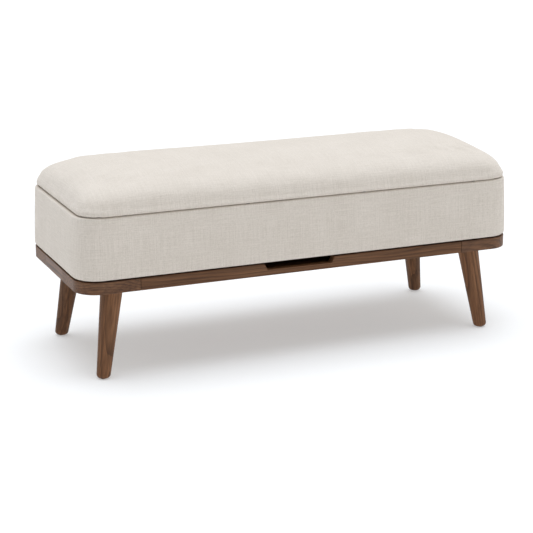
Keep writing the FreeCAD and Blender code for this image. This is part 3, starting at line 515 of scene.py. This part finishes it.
def weave_group(directions):
    """Plain weave with thick and thin threads; puts out a tint with painted shade between the threads, a
    roughness and a height.
    """
    inputs = (("Pale", COLOUR), ("Shade", COLOUR), ("Thread", FLOAT), ("Slub", FLOAT))
    outputs = (("Color", COLOUR), ("Roughness", FLOAT), ("Height", FLOAT))
    tree, start, end = new_group("plain_weave", inputs, outputs)
    plane = add(tree, "ShaderNodeGroup", node_tree=directions)
    across, along = plane.outputs["Across"], plane.outputs["Along"]
    flat = add(tree, "ShaderNodeCombineXYZ", {0: across, 1: along, 2: 0.0}).outputs[0]
    upright = cloud(tree, stretched(tree, flat, UPRIGHT_SLUBS), 1.0, 3.0, 0.6)
    level = cloud(tree, stretched(tree, flat, LEVEL_SLUBS), 1.0, 3.0, 0.6)
    fine_up = cloud(tree, stretched(tree, flat, UPRIGHT_YARN), 1.0, 2.0, 0.6)
    fine_level = cloud(tree, stretched(tree, flat, LEVEL_YARN), 1.0, 2.0, 0.6)
    patches = cloud(tree, flat, CLOTH_PATCHES, 3.0, 0.55)
    wander = remap(tree, cloud(tree, flat, THREAD_WANDER), 0.0, 1.0, -0.35, 0.35)
    turn_u = maths(tree, "DIVIDE", across, start.outputs["Thread"])
    turn_v = maths(tree, "DIVIDE", along, start.outputs["Thread"])
    turn_u = maths(tree, "MULTIPLY", maths(tree, "ADD", turn_u, wander), math.pi)
    turn_v = maths(tree, "MULTIPLY", maths(tree, "ADD", turn_v, wander), math.pi)
    wave_u = maths(tree, "SINE", turn_u)
    wave_v = maths(tree, "SINE", turn_v)
    over = maths(tree, "GREATER_THAN", maths(tree, "MULTIPLY", wave_u, wave_v), 0.0)
    round_u = maths(tree, "ABSOLUTE", wave_u)
    round_v = maths(tree, "ABSOLUTE", wave_v)
    threads = add(tree, "ShaderNodeMix", {0: over, 2: round_u, 3: round_v}).outputs[0]
    streaks = maths(tree, "ADD", upright, level)
    fine = maths(tree, "ADD", fine_up, fine_level)
    streaks = maths(tree, "SUBTRACT", streaks, 1.0)
    fine = maths(tree, "SUBTRACT", fine, 1.0)
    both = maths(tree, "ADD", streaks, maths(tree, "MULTIPLY", fine, YARN_SHARE))
    slub = remap(tree, plane.outputs["Top"], 0.0, 1.0, 1.0, SLUB_ON_TOP)
    slub = maths(tree, "MULTIPLY", slub, start.outputs["Slub"])
    both = maths(tree, "MULTIPLY", both, slub)
    patches = maths(tree, "MULTIPLY", maths(tree, "SUBTRACT", patches, 0.5), PATCH_SHARE)
    both = maths(tree, "ADD", both, patches)
    share = maths(tree, "ADD", PALE_SHARE, both)
    # Painted shade: the gaps between threads lean towards the shade colour and their crests towards the pale
    # one.
    crests = maths(tree, "MULTIPLY", maths(tree, "SUBTRACT", threads, 0.6), THREAD_SHARE)
    share = maths(tree, "ADD", share, crests)
    share = add(tree, "ShaderNodeClamp", {0: share, 1: 0.0, 2: 1.0}).outputs[0]
    colour = blend_colour(tree, share, start.outputs["Shade"], start.outputs["Pale"])
    height = maths(tree, "ADD", threads, maths(tree, "MULTIPLY", streaks, 0.8))
    tree.links.new(colour, end.inputs["Color"])
    tree.links.new(remap(tree, threads, 0.0, 1.0, 0.95, 0.8), end.inputs["Roughness"])
    tree.links.new(height, end.inputs["Height"])
    return tree


def grain_group():
    """Straight grain along the vector's X, with growth lines, streaks and pores."""
    inputs = (
        ("Vector", VECTOR),
        ("Dark", COLOUR),
        ("Body", COLOUR),
        ("Light", COLOUR),
        ("Line", FLOAT),
    )
    outputs = (("Color", COLOUR), ("Roughness", FLOAT), ("Height", FLOAT))
    tree, start, end = new_group("wood_grain", inputs, outputs)
    vector = start.outputs["Vector"]
    drift = cloud(tree, stretched(tree, vector, GRAIN_DRIFT), 1.0, 2.0, 0.5)
    split = add(tree, "ShaderNodeSeparateXYZ", {0: vector})
    across = maths(tree, "MULTIPLY", split.outputs[1], 0.6)
    across = maths(tree, "ADD", across, split.outputs[2])
    across = maths(tree, "MULTIPLY", across, start.outputs["Line"])
    across = maths(tree, "ADD", across, maths(tree, "MULTIPLY", drift, 9.0))
    rings = maths(tree, "FRACT", across)
    rings = maths(tree, "POWER", rings, 2.2)
    fibre = cloud(tree, stretched(tree, vector, GRAIN_FIBRE), 1.0, 4.0, 0.6)
    fleck = cloud(tree, stretched(tree, vector, GRAIN_FLECK), 1.0, 2.0, 0.5)
    cloudy = cloud(tree, stretched(tree, vector, GRAIN_CLOUDS), 1.0, 3.0, 0.6)
    pores = remap(tree, fleck, 0.62, 0.74, 0.0, 1.0)
    light = remap(tree, cloudy, 0.35, 0.75, 0.0, 1.0)
    base = blend_colour(tree, light, start.outputs["Body"], start.outputs["Light"])
    line_share = maths(tree, "MULTIPLY", rings, LINE_SHARE)
    base = blend_colour(tree, line_share, base, start.outputs["Dark"])
    streak = remap(tree, fibre, 0.40, 0.66, 0.0, FIBRE_SHARE)
    base = blend_colour(tree, streak, base, start.outputs["Dark"])
    base = blend_colour(tree, maths(tree, "MULTIPLY", pores, PORE_SHARE), base, start.outputs["Dark"])
    rough = maths(tree, "ADD", 0.42, maths(tree, "MULTIPLY", fibre, 0.22))
    rough = maths(tree, "ADD", rough, maths(tree, "MULTIPLY", pores, 0.15))
    height = maths(tree, "SUBTRACT", maths(tree, "MULTIPLY", fibre, 0.5), pores)
    tree.links.new(base, end.inputs["Color"])
    tree.links.new(rough, end.inputs["Roughness"])
    tree.links.new(height, end.inputs["Height"])
    return tree


def shared(name, maker, *arguments):
    """A node group built once."""
    return bpy.data.node_groups.get(name) or maker(*arguments)


def weave():
    """The weave group, with the directions group that it holds."""
    return shared("plain_weave", weave_group, shared("cloth_directions", cloth_plane_group))


def new_material(name):
    """A material with its Principled shader, ready for links."""
    material = bpy.data.materials.new(name)
    material.use_nodes = True
    return material, material.node_tree, material.node_tree.nodes["Principled BSDF"]


def bump(tree, shader, height, strength, distance):
    """Join a height to a shader's normal."""
    inputs = {"Strength": strength, "Distance": distance, "Height": height}
    node = add(tree, "ShaderNodeBump", inputs)
    tree.links.new(node.outputs[0], shader.inputs["Normal"])


def cloth_material(name, pale, shade, thread, slub, sheen=0.25):
    """Woven cloth."""
    material, tree, shader = new_material(name)
    inputs = {"Pale": opaque(pale), "Shade": opaque(shade), "Thread": thread, "Slub": slub}
    cloth = add(tree, "ShaderNodeGroup", inputs, node_tree=weave())
    tree.links.new(cloth.outputs["Color"], shader.inputs["Base Color"])
    tree.links.new(cloth.outputs["Roughness"], shader.inputs["Roughness"])
    bump(tree, shader, cloth.outputs["Height"], 0.35, 0.0005)
    shader.inputs["Specular IOR Level"].default_value = 0.25
    shader.inputs["Sheen Weight"].default_value = sheen
    shader.inputs["Sheen Roughness"].default_value = 0.55
    shader.inputs["Sheen Tint"].default_value = (1.0, 0.97, 0.94, 1)
    return material


def linen_material():
    """The covering fabric, which lid and case share."""
    finish = settings()[1]
    linen = bpy.data.materials.get("linen")
    return linen or cloth_material("linen", finish.linen, finish.linen_shade, finish.thread, 0.85)


def wood_material(name, colours, turned, shift, line, gloss=0.05):
    """Wood whose grain runs along the turned X axis, with its growth lines per metre."""
    dark, body, light = colours
    material, tree, shader = new_material(name)
    coords = add(tree, "ShaderNodeTexCoord").outputs["Object"]
    place = add(tree, "ShaderNodeMapping", {"Vector": coords, "Rotation": turned, "Location": shift})
    inputs = {
        "Vector": place.outputs[0],
        "Dark": opaque(dark),
        "Body": opaque(body),
        "Light": opaque(light),
        "Line": line,
    }
    grain = add(tree, "ShaderNodeGroup", inputs, node_tree=shared("wood_grain", grain_group))
    tree.links.new(grain.outputs["Color"], shader.inputs["Base Color"])
    tree.links.new(grain.outputs["Roughness"], shader.inputs["Roughness"])
    bump(tree, shader, grain.outputs["Height"], 0.25, 0.0003)
    shader.inputs["Specular IOR Level"].default_value = 0.18
    shader.inputs["Coat Weight"].default_value = gloss
    shader.inputs["Coat Roughness"].default_value = 0.3
    return material


def metal_material(name, colour, roughness):
    """Plated steel or brass with fine scratches."""
    material, tree, shader = new_material(name)
    coords = add(tree, "ShaderNodeTexCoord").outputs["Object"]
    scratch = cloud(tree, stretched(tree, coords, (40, 2500, 2500)), 1.0, 2.0, 0.6)
    haze = cloud(tree, coords, 120.0, 3.0, 0.6)
    hazy = remap(tree, haze, 0.3, 0.7, 0.0, 0.4)
    shade = blend_colour(tree, hazy, opaque(colour), opaque(darker(colour, 0.7)))
    tree.links.new(shade, shader.inputs["Base Color"])
    rough = maths(tree, "ADD", roughness, maths(tree, "MULTIPLY", scratch, 0.2))
    tree.links.new(rough, shader.inputs["Roughness"])
    shader.inputs["Metallic"].default_value = 1.0
    bump(tree, shader, scratch, 0.1, 0.0001)
    return material


def plain_material(name, colour, roughness, specular=0.4):
    """Moulded plastic or rubber with a fine grain."""
    material, tree, shader = new_material(name)
    coords = add(tree, "ShaderNodeTexCoord").outputs["Object"]
    pitted = cloud(tree, coords, 1800.0, 2.0, 0.6)
    tone = remap(tree, cloud(tree, coords, 60.0, 3.0), 0.3, 0.7, 0.0, 0.35)
    shade = blend_colour(tree, tone, opaque(colour), opaque(darker(colour, 0.75)))
    tree.links.new(shade, shader.inputs["Base Color"])
    rough = maths(tree, "ADD", roughness, maths(tree, "MULTIPLY", pitted, 0.15))
    tree.links.new(rough, shader.inputs["Roughness"])
    shader.inputs["Specular IOR Level"].default_value = specular
    bump(tree, shader, pitted, 0.15, 0.0002)
    return material


def dress(node, material):
    """Give a CAD node its finish."""
    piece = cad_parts[node]
    piece.data.materials.clear()
    piece.data.materials.append(material)


# ---------------------------------------------------------------- lid
def lid_form():
    """Sizes of the lid from the frame and the settings."""
    shape = settings()[0]
    low, high = low_high("lid_cover")
    half = Vector((high.x + shape.lid_spare, high.y + shape.lid_spare))
    return shape, half, low.z - LID_DROP, high.z, LID_CORNER


def lid_level(shape, half, low, high, inset, x, y):
    """Height of the lid's top surface at a point and its inset from the edge."""
    share = min(max(inset / shape.lid_shoulder, 0.0), 1.0)
    power = shape.lid_roundness
    side = shape.lid_side * (1 - (1 - share) ** power) ** (1 / power)
    crown = high - low - shape.lid_side + shape.crown_spare
    across = 1 - abs(y / half.y) ** shape.crown_cross
    lengthwise = 1 - abs(x / half.x) ** shape.crown_length
    return low + side + crown * max(across, 0.0) * max(lengthwise, 0.0)


def lid_stations(shape, half, low, high, corner):
    """Rings of the lid from under its rim, out, up its side and in over its top."""
    lip = shape.lid_lip
    stations = []
    for inset, height in arc((lip, low + lip), lip, -90, 0, 4):
        stations.append((inset, height, corner))
    rolled = shape.lid_shoulder
    steps = 14
    for index in range(1, steps + 1):
        inset = rolled * (1 - math.cos(math.pi / 2 * index / steps))
        level = lid_level(shape, half, low, high, inset, half.x, half.y)
        level = max(level, low + lip + LID_RISE * index)
        stations.append((inset, level, corner + shape.lid_spread * inset))
    return stations


def inset_of(half, corner, spread, rolled, x, y):
    """How far inside the lid's rim a point lies, by the rings whose corners widen inwards."""
    near, far = 0.0, half.y
    for _ in range(16):
        middle = (near + far) / 2
        radius = min(corner + spread * min(middle, rolled), half.y - middle)
        reach_x = abs(x) - (half.x - middle - radius)
        reach_y = abs(y) - (half.y - middle - radius)
        outside = math.hypot(max(reach_x, 0.0), max(reach_y, 0.0)) + min(max(reach_x, reach_y), 0.0) - radius
        if outside > 0:
            far = middle
        else:
            near = middle
    return near


class OTTOMAN_OT_lid_cushion(bpy.types.Operator):
    """Domed lid: foam under linen, wrapped round the board"""

    bl_idname = "ottoman.lid_cushion"
    bl_label = "Lid cushion"

    def execute(self, context):
        shape, half, low, high, corner = lid_form()
        bm = bmesh.new()
        edges = rounded_loop(bm, half.x, half.y, corner, CUSHION_STEP)
        sweep_rings(bm, edges, half, corner, lid_stations(shape, half, low, high, corner))
        bmesh.ops.edgeloop_fill(bm, edges=[edge for edge in bm.edges if edge.is_boundary])
        cushion = finish_piece("lid_cushion", bm, "lid", linen_material())
        even_out(cushion, LID_VOXEL)
        for vert in cushion.data.vertices:
            x, y = vert.co.x, vert.co.y
            inset = inset_of(half, corner, shape.lid_spread, shape.lid_shoulder, x, y)
            if inset > RIM_KEPT and vert.co.z > low + LID_TOP:
                vert.co.z = lid_level(shape, half, low, high, inset, x, y) - FILL_ROOM
        puff(cushion, lambda point: 1.0 if point.z < low + LID_HELD else 0.0, shape.foam_rise, 4.0)
        flange = half.y - low_high("lid_dust_cover")[1].y
        for vert in cushion.data.vertices:
            inset = inset_of(half, corner, 0.0, shape.lid_shoulder, vert.co.x, vert.co.y)
            if vert.co.z < low + LID_UNDERSIDE:
                vert.co.z = low + (BOARD_LIFT if inset > flange else FLANGE_LIFT)
            elif vert.co.z > low + LID_TOP:
                vert.co.z += RIPPLE * ripple(vert.co, 0.11, 3.0)
        cushion.data.update()
        soften(cushion)
        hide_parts("lid_cover", "lid_pad")
        return {"FINISHED"}


class OTTOMAN_OT_dust_cover(bpy.types.Operator):
    """Thin cloth under the lid board, turned in at its edges and stapled"""

    bl_idname = "ottoman.dust_cover"
    bl_label = "Dust cover"

    def execute(self, context):
        finish = settings()[1]
        low, high = low_high("lid_dust_cover")
        half = Vector((high.x + DUST_SPARE, high.y + DUST_SPARE))
        corner = DUST_CORNER
        hem_level = low.z - 0.0003
        stations = [(0.0, low.z, corner), (0.003, hem_level, corner), (DUST_HEM - 0.001, hem_level, corner)]
        inner_rings = (DUST_HEM + 0.001, DUST_HEM + 0.004, 0.05, 0.1, 0.15)
        stations += set_in([(inset, low.z + 0.0001) for inset in inner_rings], corner)
        bm = bmesh.new()
        edges = rounded_loop(bm, half.x, half.y, corner, SHEET_STEP)
        inner = sweep_rings(bm, edges, half, corner, stations)
        bmesh.ops.edgeloop_fill(bm, edges=inner)
        shade = darker(finish.dust_cover, 0.7)
        cloth = cloth_material("dust_cloth", finish.dust_cover, shade, 0.0009, 0.4)
        cover = finish_piece("dust_cover", bm, "lid", cloth)
        thicken(cover, 0.0005)
        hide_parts("lid_dust_cover")
        self.staples(low.z, half, finish)
        return {"FINISHED"}

    def staple_row(self, reach):
        """Places of the staples along one side of the hem."""
        span = reach - STAPLE_END
        count = round(2 * span / STAPLE_PITCH)
        return [-span + 2 * span * index / count for index in range(count + 1)]

    def staples(self, level, half, finish):
        """Wire staples all round the hem."""
        bm = bmesh.new()
        inset = DUST_HEM * 0.6
        places = []
        for side in (-1, 1):
            places += [(x, side * (half.y - inset), 0.0) for x in self.staple_row(half.x)]
            places += [(side * (half.x - inset), y, math.pi / 2) for y in self.staple_row(half.y)]
        for number, (x, y, turned) in enumerate(places):
            made = bmesh.ops.create_cube(bm, size=1.0)["verts"]
            tilt = turned + 0.25 * noise.noise(Vector((number * 0.7, 0.3, 0.0)))
            place = Matrix.Translation((x, y, level - 0.0004)) @ Matrix.Rotation(tilt, 4, "Z")
            bmesh.ops.scale(bm, vec=STAPLE, verts=made)
            bmesh.ops.transform(bm, matrix=place, verts=made)
            rounding = {edge for vert in made for edge in vert.link_edges}
            bmesh.ops.bevel(
                bm,
                geom=list(rounding),
                offset=0.00018,
                affect="EDGES",
                segments=1,
                profile=0.5,
                material=-1,
            )
        steel = metal_material("staple_wire", finish.steel, 0.3)
        finish_piece("dust_cover_staples", bm, "lid", steel)


# ---------------------------------------------------------------- case
class OTTOMAN_OT_case_upholstery(bpy.types.Operator):
    """Foam and linen round the case's walls, over its rim and under its foot"""

    bl_idname = "ottoman.case_upholstery"
    bl_label = "Case upholstery"

    def execute(self, context):
        shape = settings()[0]
        low, high = low_high("case_cover")
        half = Vector((high.x - CASE_SPARE, high.y - CASE_SPARE))
        corner = CASE_CORNER
        bm = bmesh.new()
        edges = rounded_loop(bm, half.x, half.y, corner, CUSHION_STEP)
        outline = self.outline(shape, low, high, half.x - low_high("case_bottom")[1].x)
        close_tube(bm, sweep_rings(bm, edges, half, corner, set_in(outline, corner)))
        case = finish_piece("case_upholstery", bm, "base", linen_material())

        def held(point):
            inset = min(half.x - abs(point.x), half.y - abs(point.y))
            edge = min(point.z - low.z, high.z - point.z)
            return 1.0 if inset > 0.008 or edge < 0.006 else 0.0

        puff(case, held, shape.wall_rise, 2.0)
        for vert in case.data.vertices:
            inset = min(half.x - abs(vert.co.x), half.y - abs(vert.co.y))
            if inset < 0.006:
                out = Vector((vert.co.x / half.x ** 2, vert.co.y / half.y ** 2, 0.0)).normalized()
                vert.co += out * RIPPLE * ripple(vert.co, 0.09, 8.0)
        case.data.update()
        soften(case)
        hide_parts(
            "case_cover",
            "case_padding_front",
            "case_padding_rear",
            "case_padding_left",
            "case_padding_right",
            "case_padding_corners",
        )
        return {"FINISHED"}

    def outline(self, shape, low, high, room):
        """Section through the wall: over the rim, down outside, under the foot and up inside."""
        wall = shape.foam + shape.fabric
        foot, rim = shape.case_foot, shape.case_rim
        lean = shape.case_lean
        outline = [(room, high.z)]
        outline += arc((rim + lean, high.z - rim), rim, 90, 0, 6)
        climb = 18
        tall = high.z - rim - low.z - foot
        for index in range(1, climb):
            outline.append((lean * (1 - index / climb) ** 1.5, high.z - rim - tall * index / climb))
        outline += arc((foot, low.z + foot), foot, 0, -90, 7)
        outline.append((CASE_FLANGE, low.z))
        outline.append((CASE_FLANGE, low.z + shape.fabric))
        outline.append((wall + 0.001, low.z + shape.fabric))
        inner_top = high.z - shape.fabric
        for index in range(5):
            outline.append((wall + 0.0002, low.z + 0.004 + (inner_top - low.z - 0.004) * index / 4))
        outline.append((room, inner_top))
        return outline


class OTTOMAN_OT_case_lining(bpy.types.Operator):
    """Sewn lining of the storage space, with a bound and stapled upper edge"""

    bl_idname = "ottoman.case_lining"
    bl_label = "Case lining"

    def execute(self, context):
        finish = settings()[1]
        low, high = low_high("case_lining")
        half = Vector((high.x, high.y))
        corner = LINING_CORNER
        fold = LINING_FOLD
        bm = bmesh.new()
        edges = rounded_loop(bm, half.x, half.y, corner, SHEET_STEP)
        outline = [(0.0003, high.z - 0.001)]
        rise = 8
        for index in range(1, rise):
            outline.append((0.0006, high.z - 0.001 - (high.z - low.z - fold) * index / rise))
        outline += arc((fold, low.z + fold + 0.0004), fold - 0.0006, 0, -90, 5)
        stations = set_in(outline, corner)
        stations.append((0.06, low.z + 0.001, 0.02))
        stations.append((0.12, low.z + 0.0012, 0.02))
        inner = sweep_rings(bm, edges, half, corner, stations)
        bmesh.ops.edgeloop_fill(bm, edges=inner)
        for vert in bm.verts:
            if vert.co.z > low.z + 0.02 and vert.co.z < high.z - 0.01:
                swell = 0.0006 + 0.0006 * ripple(vert.co, 0.12, 21.0)
                vert.co.x -= math.copysign(swell, vert.co.x)
                vert.co.y -= math.copysign(swell, vert.co.y)
        cloth = cloth_material("lining_cloth", finish.lining, darker(finish.lining, 0.72), 0.0010, 0.5)
        lining = finish_piece("storage_lining", bm, "base", cloth)
        thicken(lining, LINING_CLOTH)
        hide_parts("case_lining")
        self.binding(half, corner, high.z, finish)
        return {"FINISHED"}

    def binding(self, half, corner, top, finish):
        """Flat tape that covers the stapled edge of lining and linen."""
        bm = bmesh.new()
        edges = rounded_loop(bm, half.x, half.y, corner, SHEET_STEP)
        tall = TAPE_WIDTH
        outline = [(0.0012, top + 0.0005), (0.0020, top), (0.0020, top - tall), (0.0012, top - tall - 0.0005)]
        outline += [(0.0004, top - tall), (0.0004, top)]
        close_tube(bm, sweep_rings(bm, edges, half, corner, set_in(outline, corner)))
        pale, shade = darker(finish.lining, 0.8), darker(finish.lining, 0.5)
        tape = cloth_material("binding_tape", pale, shade, 0.0008, 0.2)
        finish_piece("lining_binding", bm, "base", tape)


# ---------------------------------------------------------------- wood
def walnut_colours(finish, tone=1.0):
    """Walnut's three tones, scaled lighter or darker for one piece; the brighter copy on the front legs is
    painted light.
    """
    tones = finish.walnut_dark, finish.walnut, finish.walnut_light
    return [[channel * tone for channel in one] for one in tones]


def beech_colours(finish):
    """The pale wood's three tones."""
    return finish.beech_dark, finish.beech, finish.beech_light


class OTTOMAN_OT_walnut_frame(bpy.types.Operator):
    """Walnut finish, with the grain along each rail and leg"""

    bl_idname = "ottoman.walnut_frame"
    bl_label = "Walnut frame"

    def execute(self, context):
        finish = settings()[1]
        colours = walnut_colours(finish)
        quarter = math.pi / 2
        for number, node in enumerate(WALNUT_LENGTHWISE):
            shift = (0.31 * number, 0.17 * number, 0.053 * number)
            dress(node, wood_material(f"walnut_{node}", colours, (0, 0, 0), shift, 75))
        for number, node in enumerate(WALNUT_CROSSWISE):
            shift = (0.4 + 0.23 * number, 0.11, 0.37 * number)
            dress(node, wood_material(f"walnut_{node}", colours, (0, 0, quarter), shift, 75, 0.3))
        for number, node in enumerate(WALNUT_BLOCKS):
            shift = (0.13 + 0.29 * number, 0.07 * number, 0.019 * number)
            turned = (0.08 * number, 0.05, 0.35 - 0.2 * number)
            dress(node, wood_material(f"walnut_{node}", colours, turned, shift, 90, 0.2))
        for number, node in enumerate(WALNUT_LEGS):
            low, high = low_high(node)
            lean_x = math.atan2(high.x - low.x - 0.045, high.z) * (1 if low.x > 0 else -1)
            shift = (0.19 * number, 0.23 * number, 0.031 * number)
            # Painted light: the front legs get walnut 1.35 times brighter than the rear legs, standing in for
            # the light that falls on them.
            painted_lit_leg_colours = walnut_colours(finish, 1.35 if low.y < 0 else 1.0)
            dress(node, wood_material(f"walnut_{node}", painted_lit_leg_colours, (0, quarter + lean_x, 0), shift, 60))
        return {"FINISHED"}


class OTTOMAN_OT_inner_wood(bpy.types.Operator):
    """Pale hardwood and plywood inside the frame, the case and the tray"""

    bl_idname = "ottoman.inner_wood"
    bl_label = "Inner wood"

    def execute(self, context):
        finish = settings()[1]
        colours = beech_colours(finish)
        quarter = math.pi / 2
        along_x = wood_material("beech_along", colours, (0, 0, 0), (0.2, 0, 0), 45, 0.1)
        along_y = wood_material("beech_across", colours, (0, 0, quarter), (0.5, 0.1, 0), 45, 0.1)
        ply = wood_material("birch_ply", colours, (0, 0, 0), (0.9, 0.3, 0.2), 22, 0.0)
        stained = walnut_colours(finish)
        dress("frame_dowels", along_x)
        dress("tray_bottom", wood_material("stained_ply", stained, (0, 0, 0), (0.7, 0.2, 0), 22))
        dress("tray_back", wood_material("stained_back", stained, (0, 0, 0), (0.1, 0.6, 0), 75))
        sides = wood_material("stained_side", stained, (0, 0, quarter), (0.3, 0.4, 0), 75)
        dress("tray_side_left", sides)
        dress("tray_side_right", sides)
        for node in PALE_CROSSWISE:
            dress(node, along_y)
        for node in PLYWOOD_PANELS:
            dress(node, ply)
        return {"FINISHED"}


# ---------------------------------------------------------------- hardware
class OTTOMAN_OT_hardware(bpy.types.Operator):
    """Hinges, bolts, screws, glides, bumpers and the spacer"""

    bl_idname = "ottoman.hardware"
    bl_label = "Hardware"

    def execute(self, context):
        finish = settings()[1]
        steel = metal_material("zinc_plate", finish.steel, 0.28)
        brass = metal_material("brass", (0.62, 0.45, 0.18), 0.3)
        for node in PLAIN_STEEL:
            dress(node, steel)
        dress("threaded_inserts", brass)
        dress("foot_glides", plain_material("nylon", (0.22, 0.17, 0.13), 0.5))
        dress("lid_bumpers", plain_material("rubber", (0.14, 0.125, 0.11), 0.7, 0.25))
        dress("case_spacer", plain_material("spacer_black", (0.012, 0.010, 0.009), 0.8, 0.1))
        self.hinge_screws("hinge_case_screws", "base", steel, True)
        self.hinge_screws("hinge_lid_screws", "lid", steel, False)
        return {"FINISHED"}

    def hinge_screws(self, node, body, steel, heads_up):
        """Countersunk screws, three to each leaf; the top of each head is left open."""
        low, high = low_high(node)
        pitch = low_high("hinge_pins")[1].x - HINGE_HALF
        middle_y = (low.y + high.y) / 2
        top = high.z if heads_up else low.z
        down = -1 if heads_up else 1
        bm = bmesh.new()
        for hinge in (-1, 0, 1):
            for place in (-1, 0, 1):
                screw = self.screw(bm, down)
                spot = (hinge * pitch + place * SCREW_PITCH, middle_y, top)
                bmesh.ops.translate(bm, vec=spot, verts=screw)
        bmesh.ops.recalc_face_normals(bm, faces=bm.faces)
        screws = finish_piece(node.replace("hinge", "cross_head"), bm, body, steel, False)
        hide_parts(node)

    def screw(self, bm, down):
        """One screw at the origin, head first; returns its vertices."""
        kept = set(bm.verts)
        ring = bmesh.ops.create_circle(bm, cap_ends=True, segments=20, radius=SCREW_RADIUS)["verts"]
        face = ring[0].link_faces[0]
        for drop, size in SCREW_STEPS:
            face = bmesh.ops.extrude_discrete_faces(bm, faces=[face])["faces"][0]
            bmesh.ops.translate(bm, vec=(0, 0, down * drop), verts=face.verts)
            about = Matrix.Translation(-face.calc_center_median())
            bmesh.ops.scale(bm, vec=(size, size, 1), verts=face.verts, space=about)
        return [vert for vert in bm.verts if vert not in kept]


# ---------------------------------------------------------------- studio
FLOOR_HALF = 30.0  # the studio floor reaches this far each way
LAMP_DISTANCE = 5.0  # where a sun's symbol stands; its light doesn't depend on it
SUN_COLOUR = (0.94, 1.0, 1.08)
SURROUND_COLOUR = (1.0, 0.98, 0.94)
GLOW_COLOUR = (0.985, 1.0, 1.012)


def sun_light(name, turned, height, spread, strength):
    """Broad, even light from far away: turned from the right towards the rear, and above the horizon."""
    data = bpy.data.lights.new(name, "SUN")
    data.energy = strength
    data.angle = spread
    data.color = SUN_COLOUR
    lamp = bpy.data.objects.new(name, data)
    level = math.cos(height)
    source = Vector((math.cos(turned) * level, math.sin(turned) * level, math.sin(height)))
    lamp.location = source * LAMP_DISTANCE
    lamp.rotation_euler = (-source).to_track_quat("-Z", "Y").to_euler()
    bpy.context.scene.collection.objects.link(lamp)


class OTTOMAN_OT_studio(bpy.types.Operator):
    """Pale floor, soft light and camera"""

    bl_idname = "ottoman.studio"
    bl_label = "Studio"

    def execute(self, context):
        studio = settings()[2]
        scene = context.scene
        self.floor(scene, studio)
        self.surround(scene, studio)
        scene.view_settings.view_transform = "Standard"
        sun_light("key", studio.key_turn, studio.key_height, studio.key_spread, studio.key)
        sun_light("side", studio.side_turn, studio.side_height, studio.side_spread, studio.side)
        self.camera(scene, studio)
        return {"FINISHED"}

    def floor(self, scene, studio):
        """Plain pale floor that gives off a little light, which softens the shadow."""
        bm = bmesh.new()
        bmesh.ops.create_grid(bm, x_segments=1, y_segments=1, size=FLOOR_HALF)
        mesh = bpy.data.meshes.new("studio_floor")
        bm.to_mesh(mesh)
        bm.free()
        floor = bpy.data.objects.new("studio_floor", mesh)
        scene.collection.objects.link(floor)
        paint, _, shader = new_material("studio_floor")
        shader.inputs["Base Color"].default_value = opaque(studio.floor)
        shader.inputs["Roughness"].default_value = 0.9
        shader.inputs["Specular IOR Level"].default_value = 0.1
        shader.inputs["Emission Color"].default_value = opaque(GLOW_COLOUR)
        shader.inputs["Emission Strength"].default_value = studio.glow
        mesh.materials.append(paint)

    def surround(self, scene, studio):
        """Light from all round, dimmer on one side."""
        world = bpy.data.worlds.new("studio_light")
        world.use_nodes = True
        tree = world.node_tree
        back = tree.nodes["Background"]
        back.inputs["Color"].default_value = opaque(SURROUND_COLOUR)
        toward = (math.cos(studio.dim_turn), math.sin(studio.dim_turn), 0.0)
        ray = add(tree, "ShaderNodeTexCoord").outputs["Generated"]
        facing = add(tree, "ShaderNodeVectorMath", {0: ray, 1: toward}, operation="DOT_PRODUCT")
        loss = maths(tree, "POWER", maths(tree, "MAXIMUM", facing.outputs["Value"], 0.0), 2.0)
        loss = maths(tree, "MULTIPLY", loss, studio.dim * studio.surround)
        tree.links.new(maths(tree, "SUBTRACT", studio.surround, loss), back.inputs["Strength"])
        scene.world = world

    def camera(self, scene, studio):
        """Camera on a sphere round the point it looks at."""
        back = Vector(
            (
                math.sin(studio.yaw) * math.cos(studio.pitch),
                -math.cos(studio.yaw) * math.cos(studio.pitch),
                math.sin(studio.pitch),
            )
        )
        data = bpy.data.cameras.new("camera")
        data.lens = studio.lens
        data.sensor_width = 36.0
        data.clip_end = 100.0
        camera = bpy.data.objects.new("camera", data)
        camera.location = Vector((studio.aim_side, 0.0, studio.aim_height)) + back * studio.distance
        camera.rotation_euler = (-back).to_track_quat("-Z", "Y").to_euler()
        scene.collection.objects.link(camera)
        scene.camera = camera


# ---------------------------------------------------------------- panel and registration
STEPS = (
    OTTOMAN_OT_studio,
    OTTOMAN_OT_lid_cushion,
    OTTOMAN_OT_dust_cover,
    OTTOMAN_OT_case_upholstery,
    OTTOMAN_OT_case_lining,
    OTTOMAN_OT_walnut_frame,
    OTTOMAN_OT_inner_wood,
    OTTOMAN_OT_hardware,
)


class OTTOMAN_PT_panel(bpy.types.Panel):
    """Lists the steps and the settings"""

    bl_label = "Storage Ottoman"
    bl_idname = "OTTOMAN_PT_panel"
    bl_space_type = "VIEW_3D"
    bl_region_type = "UI"
    bl_category = "Ottoman"

    def draw(self, context):
        for step in STEPS:
            self.layout.operator(step.bl_idname)
        for group in settings():
            for name in group.__annotations__:
                self.layout.prop(group, name)


CLASSES = (OttomanShape, OttomanFinish, OttomanStudio, *STEPS, OTTOMAN_PT_panel)


def register():
    """Make the classes and the scene's settings known."""
    for item in CLASSES:
        bpy.utils.register_class(item)
    bpy.types.Scene.ottoman_shape = bpy.props.PointerProperty(type=OttomanShape)
    bpy.types.Scene.ottoman_finish = bpy.props.PointerProperty(type=OttomanFinish)
    bpy.types.Scene.ottoman_studio = bpy.props.PointerProperty(type=OttomanStudio)


def unregister():
    """Forget them again."""
    del bpy.types.Scene.ottoman_studio
    del bpy.types.Scene.ottoman_finish
    del bpy.types.Scene.ottoman_shape
    for item in reversed(CLASSES):
        bpy.utils.unregister_class(item)


def main():
    """Build every piece."""
    register()
    for step in STEPS:
        group, name = step.bl_idname.split(".")
        getattr(getattr(bpy.ops, group), name)()


if __name__ == "__main__":
    main()
